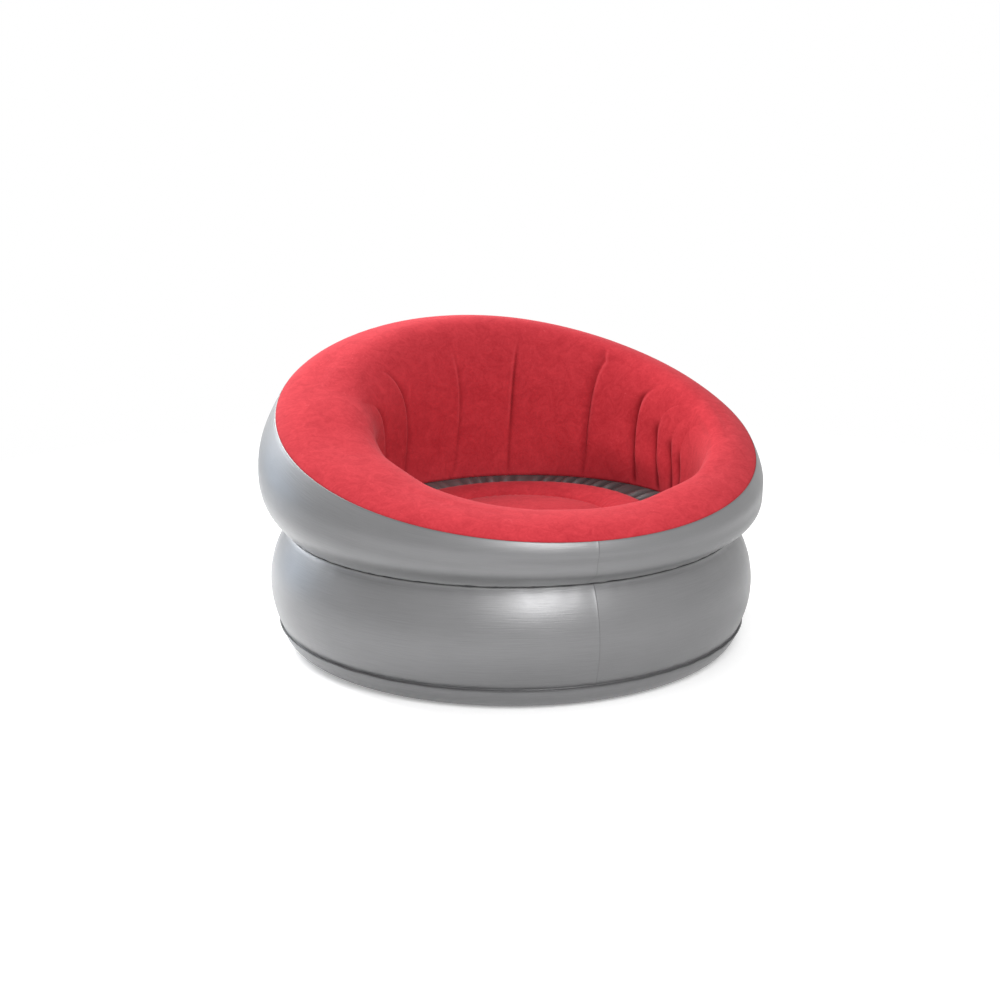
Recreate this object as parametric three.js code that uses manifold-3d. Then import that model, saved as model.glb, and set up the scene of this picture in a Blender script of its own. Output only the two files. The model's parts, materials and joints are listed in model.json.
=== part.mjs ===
// Inflatable armchair: a round drum with a leaning ring on it, both welded from thin sheet.
// Millimetres, +Z up, the front faces -Y, and the origin is on the floor under the middle.
// Angles round the chair run from the front towards +X. A lean is an angle above straight out.
import * as THREE from 'three';
import { mergeVertices } from 'three/addons/utils/BufferGeometryUtils.js';
import Module from 'manifold-3d';

const wasm = await Module();
wasm.setup();

// Sheets and welds
const WALL_SHEET = 0.4;
const FLOCKED_SHEET = 0.6;
const WEB_SHEET = 0.35;
const SEAM_GAP = 0.3;
const BASE_FIN = 6; // how far the base seam's weld fin stands out
const WAIST_FIN = 2; // how far the deck's edge stands out of the waist weld
const WAIST_BAND = 6; // how far the deck stays level inside the waist weld

// Drum: the waist's radius sets the chair's plan, and the other seams stand out of it or in from it
const WAIST_RADIUS = 487;
const BASE_SEAM_OUT = 17;
const FOOT_INSET = 55; // the flat of the bottom ends this far inside the base seam
const BASE_SEAM_HEIGHT = 50;
const DRUM_HEIGHT = 206; // from the base seam up to the waist
const DRUM_BULGE = 30; // how far the drum's wall bows out from its chord

// Ring: its outer wall rises from the waist to the rim seam
const RING_BULGE_OUT = 58;
const RING_BULGE_BACK_EXTRA = 17;
const RING_BULGE_FORWARD = 16;
const RING_BULGE_HEIGHT_SHARE = 0.49;
const RING_LEAN_AT_WAIST = 42;
const RING_LEAN_AT_RIM = 124;
const RIM_OUT = 26;
const RIM_FORWARD = 32;
const RING_HEIGHT = 225; // from the waist up to the rim, half way between front and back
const RIM_BACK_RISE = 132; // the back above that, and that above the front
const RIM_SADDLE = 10; // front and back up, sides down

// Ring: its flocked cover runs over the crest and down to the bowl's floor
const COVER_LEAN_AT_RIM = 145;
const CREST_INSET = 85;
const CREST_FRONT_EXTRA = 16;
const CREST_LEFT_EXTRA = 26; // the ring is fuller on the -X side, as it settled when it was blown up
const CREST_RISE = 23;
const CREST_FRONT_RISE = 6; // more at the front, less at the back
const FLOOR_SIDE_INSET = 117; // the bowl's floor ends this far inside the waist, at its sides
const FLOOR_END_INSET = 137; // and this far at its front and back
const FLOOR_FORWARD = 68;
const FLOOR_RISE = 26; // above the waist
const BOWL_FLARE = 7; // how far the bowl's wall leans out at its foot, in degrees
const BOWL_FRONT_FLARE = 3; // more at the front, less at the back
const BOWL_FRONT_SWELL = 10; // how far the wall swells into the bowl at half its height
const BOWL_LEFT_SWELL = 37;

// Creases of the bowl's wall, and the gussets that pull them in
const GUSSET_COUNT = 15;
const GUSSET_START_SHARE = 0.75; // of a bay, from the front to the first crease
const BAY_CROWN = 11; // how far the wall stands proud between two creases
const BAY_COLUMN_SHARES = [0, 0.06, 0.34, 0.66, 0.94];
const BAY_CROWN_SHARES = [0, 0.6, 1, 1, 0.6];
const BOWL_ROW_SHARES = [0.16, 0.34, 0.54, 0.78, 1];
const CREASE_DEPTH_SHARES = [0.15, 0.7, 1, 1, 0];
const GUSSET_TOP_ROW = 2; // the row of the bowl's wall that the gussets reach
const GUSSET_TOP_WIDTH = 14;
const GUSSET_FOOT_SHARE = 0.8;

// Seat
const SEAT_HOLE_INSET = 189; // the deck's hole lies this far inside the waist
const SEAT_LAP = 8;
const SEAT_FORWARD = 66;
const SEAT_EDGE_RISE = 17; // above the waist
const SEAT_RING_WIDTH = 98; // from the deck's hole in to the circular weld
const SEAT_RING_CROWN = 16;
const SEAT_CENTRE_CROWN = 22;
const SEAT_RING_SHARES = [0.22, 0.5, 0.78];
const SEAT_CENTRE_SHARES = [0.78, 0.42];
const VENT_RADIUS = 20; // holes that let air through the seat's webs

// Valves, along their own axis from the wall outwards
const PORT_RADIUS = 9;
const VALVE_PLATE = 1.2;
const STRAP_SHEET = 1.2;
const STOPPER_CAP_RADIUS = 12;
const STOPPER_CAP = 2;
const STOPPER_NECK = 6;
const STOPPER_NECK_TAPER = 0.9;
const STOPPER_HINGE = 18.3;
const STOPPER_TAB_WIDTH = 8;
const FLAP_RADIUS = 11;
const FLAP_SHEET = 0.8;
const MAIN_PLATE_RADIUS = 38;
const MAIN_COLLAR_RADIUS = 23;
const MAIN_COLLAR_WALL = 4;
const MAIN_COLLAR_OUT = 5;
const MAIN_COLLAR_IN = 10;
const PLUG_CAP_RADIUS = 25;
const PLUG_CAP = 2.2;
const PLUG_NECK = 11.3;
const PLUG_NECK_TAPER = 1.4;
const PLUG_HINGE = 30.6;
const PLUG_TAB_WIDTH = 14;
const STRAP_RING_WALL = 3;
const RING_PLATE_RADIUS = 26;
const RING_COLLAR_RADIUS = 12.5;
const RING_COLLAR_OUT = 4;
const RING_COLLAR_IN = 8;
const NECK_CLEARANCE = 0.3;

// How far the handles of the bows reach, as shares of the way they cross
const BOW_REACH_SHARE = 0.36;
const CREST_REACH_SHARE = 0.4;
const CREST_REACH = 72;
const FLOOR_REACH_SHARE = 0.51;

// Steps of the surfaces
const CURL_ROWS = 4;
const DRUM_ROWS = 6;
const RING_ROWS = 3;
const ROUND_STEPS = 24;
const CUT_OVERRUN = 10;
const MERGE_DISTANCE = 0.0001;

// Leans, in degrees above straight out
const LEAN_UP = 90;
const LEAN_IN = 180;
const LEAN_DOWN = 270;

// Radii and heights that follow from the sizes above
const BASE_SEAM_RADIUS = WAIST_RADIUS + BASE_SEAM_OUT;
const FOOT_RADIUS = BASE_SEAM_RADIUS - FOOT_INSET;
const WAIST_HEIGHT = BASE_SEAM_HEIGHT + DRUM_HEIGHT;
const RING_BULGE_RADIUS = WAIST_RADIUS + RING_BULGE_OUT;
const RIM_RADIUS = WAIST_RADIUS + RIM_OUT;
const RIM_HEIGHT = WAIST_HEIGHT + RING_HEIGHT;
const FLOOR_HALF_WIDTH = WAIST_RADIUS - FLOOR_SIDE_INSET;
const FLOOR_HALF_DEPTH = WAIST_RADIUS - FLOOR_END_INSET;
const FLOOR_HEIGHT = WAIST_HEIGHT + FLOOR_RISE;
const SEAT_HOLE_RADIUS = WAIST_RADIUS - SEAT_HOLE_INSET;
const SEAT_WELD_RADIUS = SEAT_HOLE_RADIUS - SEAT_RING_WIDTH;
const SEAT_EDGE_HEIGHT = WAIST_HEIGHT + SEAT_EDGE_RISE;

const UP = new THREE.Vector3(0, 0, 1);
const radians = THREE.MathUtils.degToRad;

const redFlock = new THREE.MeshStandardMaterial({ color: 0xb8323f, roughness: 0.95, metalness: 0 });
const greySheet = new THREE.MeshStandardMaterial({ color: 0x86868a, roughness: 0.42, metalness: 0 });
const webSheet = new THREE.MeshStandardMaterial({ color: 0xc9c9c4, roughness: 0.5, metalness: 0 });
const valvePlastic = new THREE.MeshStandardMaterial({ color: 0x55565a, roughness: 0.35, metalness: 0 });

// Directions and places round the chair
function outward(angle) {
  return new THREE.Vector3(Math.sin(angle), -Math.cos(angle), 0);
}

function place(angle, radius, forward, height) {
  return outward(angle).multiplyScalar(radius).add(new THREE.Vector3(0, -forward, height));
}

function handle(angle, lean, reach) {
  const flat = outward(angle).multiplyScalar(Math.cos(radians(lean)) * reach);
  return flat.addScaledVector(UP, Math.sin(radians(lean)) * reach);
}

// A cubic that leaves one point along one handle and arrives at the other along the second
function bow(from, leave, to, arrive, share) {
  const curve = new THREE.CubicBezierCurve3(
    from,
    from.clone().add(leave),
    to.clone().sub(arrive),
    to,
  );
  return curve.getPoint(share);
}

// The closed lines that the sheets run between
function rim(angle) {
  const height =
    RIM_HEIGHT - RIM_BACK_RISE * Math.cos(angle) + RIM_SADDLE * Math.cos(2 * angle);
  return place(angle, RIM_RADIUS, RIM_FORWARD, height);
}

function ringBulge(angle) {
  const height = THREE.MathUtils.lerp(WAIST_HEIGHT, rim(angle).z, RING_BULGE_HEIGHT_SHARE);
  const radius = RING_BULGE_RADIUS - RING_BULGE_BACK_EXTRA * Math.cos(angle);
  return place(angle, radius, RING_BULGE_FORWARD, height);
}

function crest(angle) {
  const extra = CREST_FRONT_EXTRA * Math.cos(angle) - CREST_LEFT_EXTRA * Math.sin(angle);
  const radius = RIM_RADIUS - CREST_INSET - extra;
  const rise = CREST_RISE + CREST_FRONT_RISE * Math.cos(angle);
  return place(angle, radius, RIM_FORWARD, rim(angle).z + rise);
}

function bowlFloor(angle) {
  return new THREE.Vector3(
    FLOOR_HALF_WIDTH * Math.sin(angle),
    -FLOOR_FORWARD - FLOOR_HALF_DEPTH * Math.cos(angle),
    FLOOR_HEIGHT,
  );
}

// Points of the sheets: a share of 0 is where the sheet starts
function curlPoint(angle, share) {
  const turn = (share * Math.PI) / 2;
  const radius = FOOT_RADIUS + (BASE_SEAM_RADIUS - FOOT_RADIUS) * Math.sin(turn);
  const height = (BASE_SEAM_HEIGHT - SEAM_GAP / 2 - WALL_SHEET) * (1 - Math.cos(turn));
  return place(angle, radius, 0, height);
}

function drumWallPoint(angle, share) {
  const foot = new THREE.Vector2(BASE_SEAM_RADIUS, BASE_SEAM_HEIGHT + SEAM_GAP / 2 + WALL_SHEET);
  const top = new THREE.Vector2(WAIST_RADIUS, WAIST_HEIGHT - WALL_SHEET - SEAM_GAP);
  const chord = top.clone().sub(foot);
  const halfTurn = 2 * Math.atan((2 * DRUM_BULGE) / chord.length());
  const radius = chord.length() / (2 * Math.sin(halfTurn));
  const turn = halfTurn * (2 * share - 1);
  const along = chord.clone().normalize();
  const across = new THREE.Vector2(along.y, -along.x);
  const point = foot.clone().add(top).multiplyScalar(1 / 2);
  point.addScaledVector(along, radius * Math.sin(turn));
  point.addScaledVector(across, radius * (Math.cos(turn) - Math.cos(halfTurn)));
  return place(angle, point.x, 0, point.y);
}

function ringLowerPoint(angle, share) {
  const from = place(angle, WAIST_RADIUS, 0, WAIST_HEIGHT + SEAM_GAP);
  const to = ringBulge(angle);
  const reach = from.distanceTo(to) * BOW_REACH_SHARE;
  const leave = handle(angle, RING_LEAN_AT_WAIST, reach);
  return bow(from, leave, to, handle(angle, LEAN_UP, reach), share);
}

function ringUpperPoint(angle, share) {
  const from = ringBulge(angle);
  const to = rim(angle);
  const reach = from.distanceTo(to) * BOW_REACH_SHARE;
  const arrive = handle(angle, RING_LEAN_AT_RIM, reach);
  return bow(from, handle(angle, LEAN_UP, reach), to, arrive, share);
}

function crownPoint(angle, share) {
  const from = rim(angle);
  const to = crest(angle);
  const reach = from.distanceTo(to) * BOW_REACH_SHARE;
  const leave = handle(angle, COVER_LEAN_AT_RIM, reach);
  return bow(from, leave, to, handle(angle, LEAN_IN, reach), share);
}

function bowlWallPoint(angle, share) {
  const from = crest(angle);
  const to = bowlFloor(angle).addScaledVector(UP, SEAM_GAP);
  const across = CREST_REACH + Math.hypot(to.x - from.x, to.y - from.y) * CREST_REACH_SHARE;
  const down = (from.z - to.z) * FLOOR_REACH_SHARE;
  const flare = BOWL_FLARE + BOWL_FRONT_FLARE * Math.cos(angle);
  const swell = BOWL_FRONT_SWELL * Math.cos(angle) - BOWL_LEFT_SWELL * Math.sin(angle);
  const leave = handle(angle, LEAN_IN, across);
  const point = bow(from, leave, to, handle(angle, LEAN_DOWN - flare, down), share);
  return point.addScaledVector(outward(angle), -swell * Math.sin(Math.PI * share));
}

// The columns of every sheet: each bay between two creases has its own shares
const BAY_ANGLE = (2 * Math.PI) / GUSSET_COUNT;
const columns = [];
for (let gusset = 0; gusset < GUSSET_COUNT; gusset++) {
  BAY_COLUMN_SHARES.forEach((share, place) => {
    const angle = (gusset + GUSSET_START_SHARE + share) * BAY_ANGLE;
    columns.push({ angle, crown: BAY_CROWN_SHARES[place] });
  });
}

function ringRow(pointAt) {
  return columns.map((column) => pointAt(column.angle, column.crown));
}

function rowsAlong(pointAt, count) {
  const rows = [];
  for (let row = 0; row <= count; row++) {
    rows.push(ringRow((angle) => pointAt(angle, row / count)));
  }
  return rows;
}

// Outward normals of rows of points that go round the chair
function rowNormals(rows) {
  return rows.map((row, index) => {
    const before = rows[Math.max(index - 1, 0)];
    const after = rows[Math.min(index + 1, rows.length - 1)];
    return row.map((point, column) => {
      const left = row[(column + row.length - 1) % row.length];
      const right = row[(column + 1) % row.length];
      const round = right.clone().sub(left);
      const along = after[column].clone().sub(before[column]);
      return round.cross(along).normalize();
    });
  });
}

function moved(rows, normals, distance) {
  return rows.map((row, index) =>
    row.map((point, column) => point.clone().addScaledVector(normals[index][column], distance)),
  );
}

function everyColumn(directionAt) {
  return columns.map((column) => directionAt(column.angle));
}

function geometryOf(points, triangles) {
  const geometry = new THREE.BufferGeometry().setFromPoints(points);
  geometry.setIndex(triangles);
  geometry.computeVertexNormals();
  return geometry;
}

// A closed sheet between two faces of rows that go round. Either end may close on a middle point.
function ringSheet(outer, inner, middle = {}) {
  const points = [];
  const triangles = [];
  const count = outer[0].length;
  const addFace = (rows) => rows.map((row) => row.map((point) => points.push(point) - 1));
  const outerFace = addFace(outer);
  const innerFace = addFace(inner);
  const quad = (a, b, c, d) => triangles.push(a, b, c, a, c, d);
  for (let column = 0; column < count; column++) {
    const next = (column + 1) % count;
    for (let row = 0; row + 1 < outer.length; row++) {
      const [low, high] = [outerFace[row], outerFace[row + 1]];
      quad(low[column], low[next], high[next], high[column]);
      const [lowIn, highIn] = [innerFace[row], innerFace[row + 1]];
      triangles.push(lowIn[column], highIn[next], lowIn[next]);
      triangles.push(lowIn[column], highIn[column], highIn[next]);
    }
    const [first, firstIn] = [outerFace[0], innerFace[0]];
    const [last, lastIn] = [outerFace.at(-1), innerFace.at(-1)];
    if (!middle.first) quad(first[next], first[column], firstIn[column], firstIn[next]);
    if (!middle.last) quad(last[column], last[next], lastIn[next], lastIn[column]);
  }
  const fan = (face, centre, turned) => {
    const tip = points.push(centre) - 1;
    face.forEach((corner, column) => {
      const next = face[(column + 1) % count];
      triangles.push(...(turned ? [next, corner, tip] : [corner, next, tip]));
    });
  };
  if (middle.first) {
    fan(outerFace[0], middle.first[0], true);
    fan(innerFace[0], middle.first[1], false);
  }
  if (middle.last) {
    fan(outerFace.at(-1), middle.last[0], false);
    fan(innerFace.at(-1), middle.last[1], true);
  }
  return geometryOf(points, triangles);
}

// A closed sheet between two faces of rows that end at both sides
function patchSheet(front, back) {
  const points = [];
  const triangles = [];
  const addFace = (rows) => rows.map((row) => row.map((point) => points.push(point) - 1));
  const [face, rear] = [addFace(front), addFace(back)];
  const quad = (a, b, c, d) => triangles.push(a, b, c, a, c, d);
  const [lastRow, lastColumn] = [front.length - 1, front[0].length - 1];
  for (let row = 0; row < lastRow; row++) {
    for (let column = 0; column < lastColumn; column++) {
      const [low, high] = [face[row], face[row + 1]];
      quad(low[column], low[column + 1], high[column + 1], high[column]);
      const [lowRear, highRear] = [rear[row], rear[row + 1]];
      triangles.push(lowRear[column], highRear[column + 1], lowRear[column + 1]);
      triangles.push(lowRear[column], highRear[column], highRear[column + 1]);
    }
    quad(face[row + 1][0], rear[row + 1][0], rear[row][0], face[row][0]);
    const [low, high] = [row, row + 1];
    quad(face[low][lastColumn], rear[low][lastColumn], rear[high][lastColumn], face[high][lastColumn]);
  }
  for (let column = 0; column < lastColumn; column++) {
    quad(face[0][column], rear[0][column], rear[0][column + 1], face[0][column + 1]);
    const [top, topRear] = [face[lastRow], rear[lastRow]];
    quad(top[column + 1], topRear[column + 1], topRear[column], top[column]);
  }
  return geometryOf(points, triangles);
}

// Solids for cuts and joins
function solidOf(geometry) {
  const bare = geometry.clone();
  bare.deleteAttribute('normal');
  bare.deleteAttribute('uv');
  const merged = mergeVertices(bare, MERGE_DISTANCE);
  return new wasm.Manifold(
    new wasm.Mesh({
      numProp: 3,
      vertProperties: merged.getAttribute('position').array,
      triVerts: new Uint32Array(merged.index.array),
    }),
  );
}

function geometryFrom(solid) {
  const mesh = solid.getMesh();
  const geometry = new THREE.BufferGeometry();
  geometry.setAttribute('position', new THREE.BufferAttribute(mesh.vertProperties, 3));
  geometry.setIndex(new THREE.BufferAttribute(mesh.triVerts, 1));
  geometry.computeVertexNormals();
  return geometry;
}

function rod(radius, low, high) {
  const geometry = new THREE.CylinderGeometry(radius, radius, high - low, ROUND_STEPS);
  return geometry.translate(0, (low + high) / 2, 0);
}

// A turned piece: pairs of radius and height, in order from the axis or round a closed outline
function turned(pairs) {
  return new THREE.LatheGeometry(
    pairs.map(([radius, height]) => new THREE.Vector2(radius, height)),
    ROUND_STEPS,
  );
}

function tube(inner, outer, low, high) {
  return turned([
    [inner, low],
    [outer, low],
    [outer, high],
    [inner, high],
    [inner, low],
  ]);
}

// A flat tab that runs up from the valve's axis to its bend
function tab(width, from, to, low, high) {
  const geometry = new THREE.BoxGeometry(width, high - low, to - from);
  return geometry.translate(0, (low + high) / 2, (from + to) / 2);
}

const chair = new THREE.Group();

function add(name, geometry, material, position) {
  const mesh = new THREE.Mesh(geometry, material);
  mesh.name = name;
  if (position) mesh.position.copy(position);
  chair.add(mesh);
  return mesh;
}

// Bottom panel: flat on the floor, curled up to the base seam, with its half of the weld fin
function addBottomPanel() {
  const rows = rowsAlong(curlPoint, CURL_ROWS);
  const height = rows.at(-1)[0].z;
  rows.push(ringRow((angle) => place(angle, BASE_SEAM_RADIUS + BASE_FIN, 0, height)));
  const normals = rowNormals(rows);
  normals[0] = everyColumn(() => UP.clone().negate());
  normals[normals.length - 1] = everyColumn(() => UP.clone().negate());
  const inner = moved(rows, normals, -WALL_SHEET);
  const middle = [new THREE.Vector3(), new THREE.Vector3(0, 0, WALL_SHEET)];
  add('bottom_panel', ringSheet(rows, inner, { first: middle }), greySheet);
}

// Drum wall: its half of the weld fin, then the bowed band up to the waist
const drumRows = rowsAlong(drumWallPoint, DRUM_ROWS);
const drumFinHeight = drumRows[0][0].z;
drumRows.unshift(
  ringRow((angle) => place(angle, BASE_SEAM_RADIUS + BASE_FIN, 0, drumFinHeight)),
);
const drumNormals = rowNormals(drumRows);
drumNormals[0] = everyColumn(() => UP.clone());
drumNormals[drumNormals.length - 1] = everyColumn(outward);

// Ring: wall and cover share one run of rows, so that both sides of the rim seam lie alike
const ringWallRows = [
  ...rowsAlong(ringLowerPoint, RING_ROWS),
  ...rowsAlong(ringUpperPoint, RING_ROWS).slice(1),
];
const coverRows = [
  ...rowsAlong(crownPoint, 2).slice(1),
  ...BOWL_ROW_SHARES.map((share, row) =>
    ringRow((angle, crown) =>
      bowlWallPoint(angle, share).addScaledVector(
        outward(angle),
        -BAY_CROWN * crown * CREASE_DEPTH_SHARES[row],
      ),
    ),
  ),
];
const ringNormals = rowNormals([...ringWallRows, ...coverRows]);
ringNormals[0] = everyColumn(outward);
ringNormals[ringNormals.length - 1] = everyColumn((angle) => outward(angle).negate());

// Moves a seam's row half a seam gap towards the next row of its own sheet
function trimmed(row, towards) {
  return row.map((point, column) => {
    const share = SEAM_GAP / 2 / point.distanceTo(towards[column]);
    return point.clone().lerp(towards[column], share);
  });
}

const ringWallFace = [
  ...ringWallRows.slice(0, -1),
  trimmed(ringWallRows.at(-1), ringWallRows.at(-2)),
];
const ringWallNormals = ringNormals.slice(0, ringWallRows.length);
const coverFace = [trimmed(ringWallRows.at(-1), coverRows[0]), ...coverRows];
const coverNormals = ringNormals.slice(ringWallRows.length - 1);
const coverInner = moved(coverFace, coverNormals, -FLOCKED_SHEET);

// Deck: level at the waist weld, up to the bowl's floor, and down to the seat's weld band
const deckWaist = (angle) => place(angle, WAIST_RADIUS - WAIST_BAND, 0, WAIST_HEIGHT);
const seatRing = (angle, radius, height) => place(angle, radius, SEAT_FORWARD, height);
const deckFace = [
  ringRow((angle) => place(angle, WAIST_RADIUS + WAIST_FIN, 0, WAIST_HEIGHT)),
  ringRow(deckWaist),
  ringRow(bowlFloor),
  ringRow((angle) => seatRing(angle, SEAT_HOLE_RADIUS + SEAT_LAP, SEAT_EDGE_HEIGHT)),
  ringRow((angle) => seatRing(angle, SEAT_HOLE_RADIUS, SEAT_EDGE_HEIGHT)),
];
const deckNormals = rowNormals(deckFace);
[0, 1, 3, 4].forEach((row) => {
  deckNormals[row] = everyColumn(() => UP.clone());
});

// Seat: a lap on the deck, a padded ring, the circular weld and a padded middle
const seatTop = SEAT_EDGE_HEIGHT + SEAM_GAP + FLOCKED_SHEET;
const seatFace = [
  ringRow((angle) => seatRing(angle, SEAT_HOLE_RADIUS + SEAT_LAP, seatTop)),
  ringRow((angle) => seatRing(angle, SEAT_HOLE_RADIUS, seatTop)),
  ...SEAT_RING_SHARES.map((share) => {
    const radius = THREE.MathUtils.lerp(SEAT_HOLE_RADIUS, SEAT_WELD_RADIUS, share);
    const height = seatTop + SEAT_RING_CROWN * Math.sin(Math.PI * share);
    return ringRow((angle) => seatRing(angle, radius, height));
  }),
  ringRow((angle) => seatRing(angle, SEAT_WELD_RADIUS, seatTop)),
  ...SEAT_CENTRE_SHARES.map((share) =>
    ringRow((angle) =>
      seatRing(angle, SEAT_WELD_RADIUS * share, seatTop + SEAT_CENTRE_CROWN * (1 - share * share)),
    ),
  ),
];
const seatWeldRow = 2 + SEAT_RING_SHARES.length;
const seatNormals = rowNormals(seatFace);
[0, 1, seatWeldRow].forEach((row) => {
  seatNormals[row] = everyColumn(() => UP.clone());
});

function addSeat() {
  const top = new THREE.Vector3(0, -SEAT_FORWARD, seatTop + SEAT_CENTRE_CROWN);
  const underside = top.clone().addScaledVector(UP, -FLOCKED_SHEET);
  const inner = moved(seatFace, seatNormals, -FLOCKED_SHEET);
  add('seat_panel', ringSheet(seatFace, inner, { last: [top, underside] }), redFlock);
}

// A seat web: a cylinder from the bottom panel up to a weld, with holes through it for air
function addSeatWeb(name, radius, top) {
  const rows = [WALL_SHEET + SEAM_GAP, top - SEAM_GAP].map((height) =>
    ringRow((angle) => seatRing(angle, radius, height)),
  );
  const normals = rows.map(() => everyColumn(outward));
  const web = solidOf(ringSheet(rows, moved(rows, normals, -WEB_SHEET)));
  const reach = radius + CUT_OVERRUN;
  const middle = [0, -SEAT_FORWARD, (WALL_SHEET + top) / 2];
  const alongY = rod(VENT_RADIUS, -reach, reach).translate(...middle);
  const alongX = rod(VENT_RADIUS, -reach, reach).rotateZ(Math.PI / 2).translate(...middle);
  add(name, geometryFrom(web.subtract(solidOf(alongY)).subtract(solidOf(alongX))), webSheet);
}

// A gusset web: from one crease of the bowl's wall down to the deck
function addGussetWeb(gusset) {
  const column = gusset * BAY_COLUMN_SHARES.length;
  const { angle } = columns[column];
  const crease = coverInner.map((row, index) =>
    row[column].clone().addScaledVector(coverNormals[index][column], -SEAM_GAP),
  );
  const firstRow = coverFace.length - BOWL_ROW_SHARES.length + GUSSET_TOP_ROW - 1;
  const edge = crease.slice(firstRow).reverse();
  const foot = bowlFloor(angle).lerp(deckWaist(angle), GUSSET_FOOT_SHARE);
  foot.addScaledVector(UP, SEAM_GAP);
  const head = edge.at(-1).clone().addScaledVector(outward(angle), GUSSET_TOP_WIDTH);
  const rows = edge.map((point, row) => {
    const far = foot.clone().lerp(head, row / (edge.length - 1));
    return [0, 1 / 2, 1].map((share) => point.clone().lerp(far, share));
  });
  const across = foot.clone().sub(edge[0]).cross(UP).normalize();
  const face = (distance) =>
    rows.map((row) => row.map((point) => point.clone().addScaledVector(across, distance)));
  const number = String(gusset + 1).padStart(2, '0');
  const geometry = patchSheet(face(WEB_SHEET / 2), face(-WEB_SHEET / 2));
  add(`gusset_web_${number}`, geometry, webSheet);
}

// Where a valve sits: on the rear of a wall, at one of the wall's rows
function rearOf(rows, row) {
  const rear = rows[row].reduce((best, point) => (point.y > best.y ? point : best));
  return new THREE.Vector3(0, rear.y, rear.z);
}

// A wall with a round hole for a valve's collar
function piercedWall(rows, normals, valve, holeRadius) {
  const wall = solidOf(ringSheet(rows, moved(rows, normals, -WALL_SHEET)));
  const hole = rod(holeRadius, -CUT_OVERRUN, CUT_OVERRUN).translate(valve.x, valve.y, valve.z);
  return geometryFrom(wall.subtract(solidOf(hole)));
}

// A valve's plate, cut from a layer that follows the wall, with the collar through it
function valveFlange(rows, normals, valve, plateRadius, collar, boreRadius) {
  const near = moved(rows, normals, SEAM_GAP);
  const far = moved(rows, normals, SEAM_GAP + VALVE_PLATE);
  const there = [valve.x, valve.y, valve.z];
  const disc = rod(plateRadius, -CUT_OVERRUN, CUT_OVERRUN).translate(...there);
  const bore = rod(boreRadius, -CUT_OVERRUN * 2, CUT_OVERRUN * 2).translate(...there);
  return solidOf(ringSheet(far, near))
    .intersect(solidOf(disc))
    .add(solidOf(collar.translate(...there)))
    .subtract(solidOf(bore));
}

// A stopper whose cap's underside is at the seat height, with its tab up to the bend
function stopperGeometry(seat) {
  const neck = PORT_RADIUS - NECK_CLEARANCE;
  const body = turned([
    [0, seat - STOPPER_NECK],
    [neck - STOPPER_NECK_TAPER, seat - STOPPER_NECK],
    [neck, seat],
    [STOPPER_CAP_RADIUS, seat],
    [STOPPER_CAP_RADIUS, seat + STOPPER_CAP],
    [0, seat + STOPPER_CAP],
  ]);
  const strap = tab(STOPPER_TAB_WIDTH, PORT_RADIUS, STOPPER_HINGE, seat, seat + STRAP_SHEET);
  return geometryFrom(solidOf(body).add(solidOf(strap)));
}

function flapGeometry(seat) {
  return rod(FLAP_RADIUS, seat - SEAM_GAP - FLAP_SHEET, seat - SEAM_GAP);
}

function addMainValve(valve) {
  const bore = MAIN_COLLAR_RADIUS - MAIN_COLLAR_WALL;
  const collar = tube(bore, MAIN_COLLAR_RADIUS, -MAIN_COLLAR_IN, MAIN_COLLAR_OUT);
  const flange = valveFlange(drumRows, drumNormals, valve, MAIN_PLATE_RADIUS, collar, bore);
  add('main_valve_flange', geometryFrom(flange), valvePlastic);

  // The strap's ring lies round the collar, and its tongue runs up to the plug's bend
  const strapLow = MAIN_COLLAR_OUT - STRAP_SHEET;
  const ringInner = MAIN_COLLAR_RADIUS + SEAM_GAP;
  const ringOuter = ringInner + STRAP_RING_WALL;
  const ring = tube(ringInner, ringOuter, strapLow, MAIN_COLLAR_OUT);
  const middle = (ringInner + ringOuter) / 2;
  const tongue = tab(PLUG_TAB_WIDTH, middle, PLUG_HINGE, strapLow, MAIN_COLLAR_OUT);
  add('main_valve_strap', geometryFrom(solidOf(ring).add(solidOf(tongue))), valvePlastic, valve);

  const seat = MAIN_COLLAR_OUT + SEAM_GAP;
  const neck = bore - NECK_CLEARANCE;
  const cap = seat + PLUG_CAP;
  const body = turned([
    [PORT_RADIUS, seat - PLUG_NECK],
    [neck - PLUG_NECK_TAPER, seat - PLUG_NECK],
    [neck, seat],
    [PLUG_CAP_RADIUS, seat],
    [PLUG_CAP_RADIUS, cap],
    [PORT_RADIUS, cap],
    [PORT_RADIUS, seat - PLUG_NECK],
  ]);
  const strap = tab(PLUG_TAB_WIDTH, neck, PLUG_HINGE, seat, seat + STRAP_SHEET);
  add('main_valve_plug', geometryFrom(solidOf(body).add(solidOf(strap))), valvePlastic, valve);
  // The stopper's tab runs down, so that it swings clear of the wall when the plug hangs open
  const stopper = stopperGeometry(cap + SEAM_GAP).rotateY(Math.PI);
  add('main_valve_stopper', stopper, valvePlastic, valve);
  add('main_valve_flap', flapGeometry(seat - PLUG_NECK), webSheet, valve);
}

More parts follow.
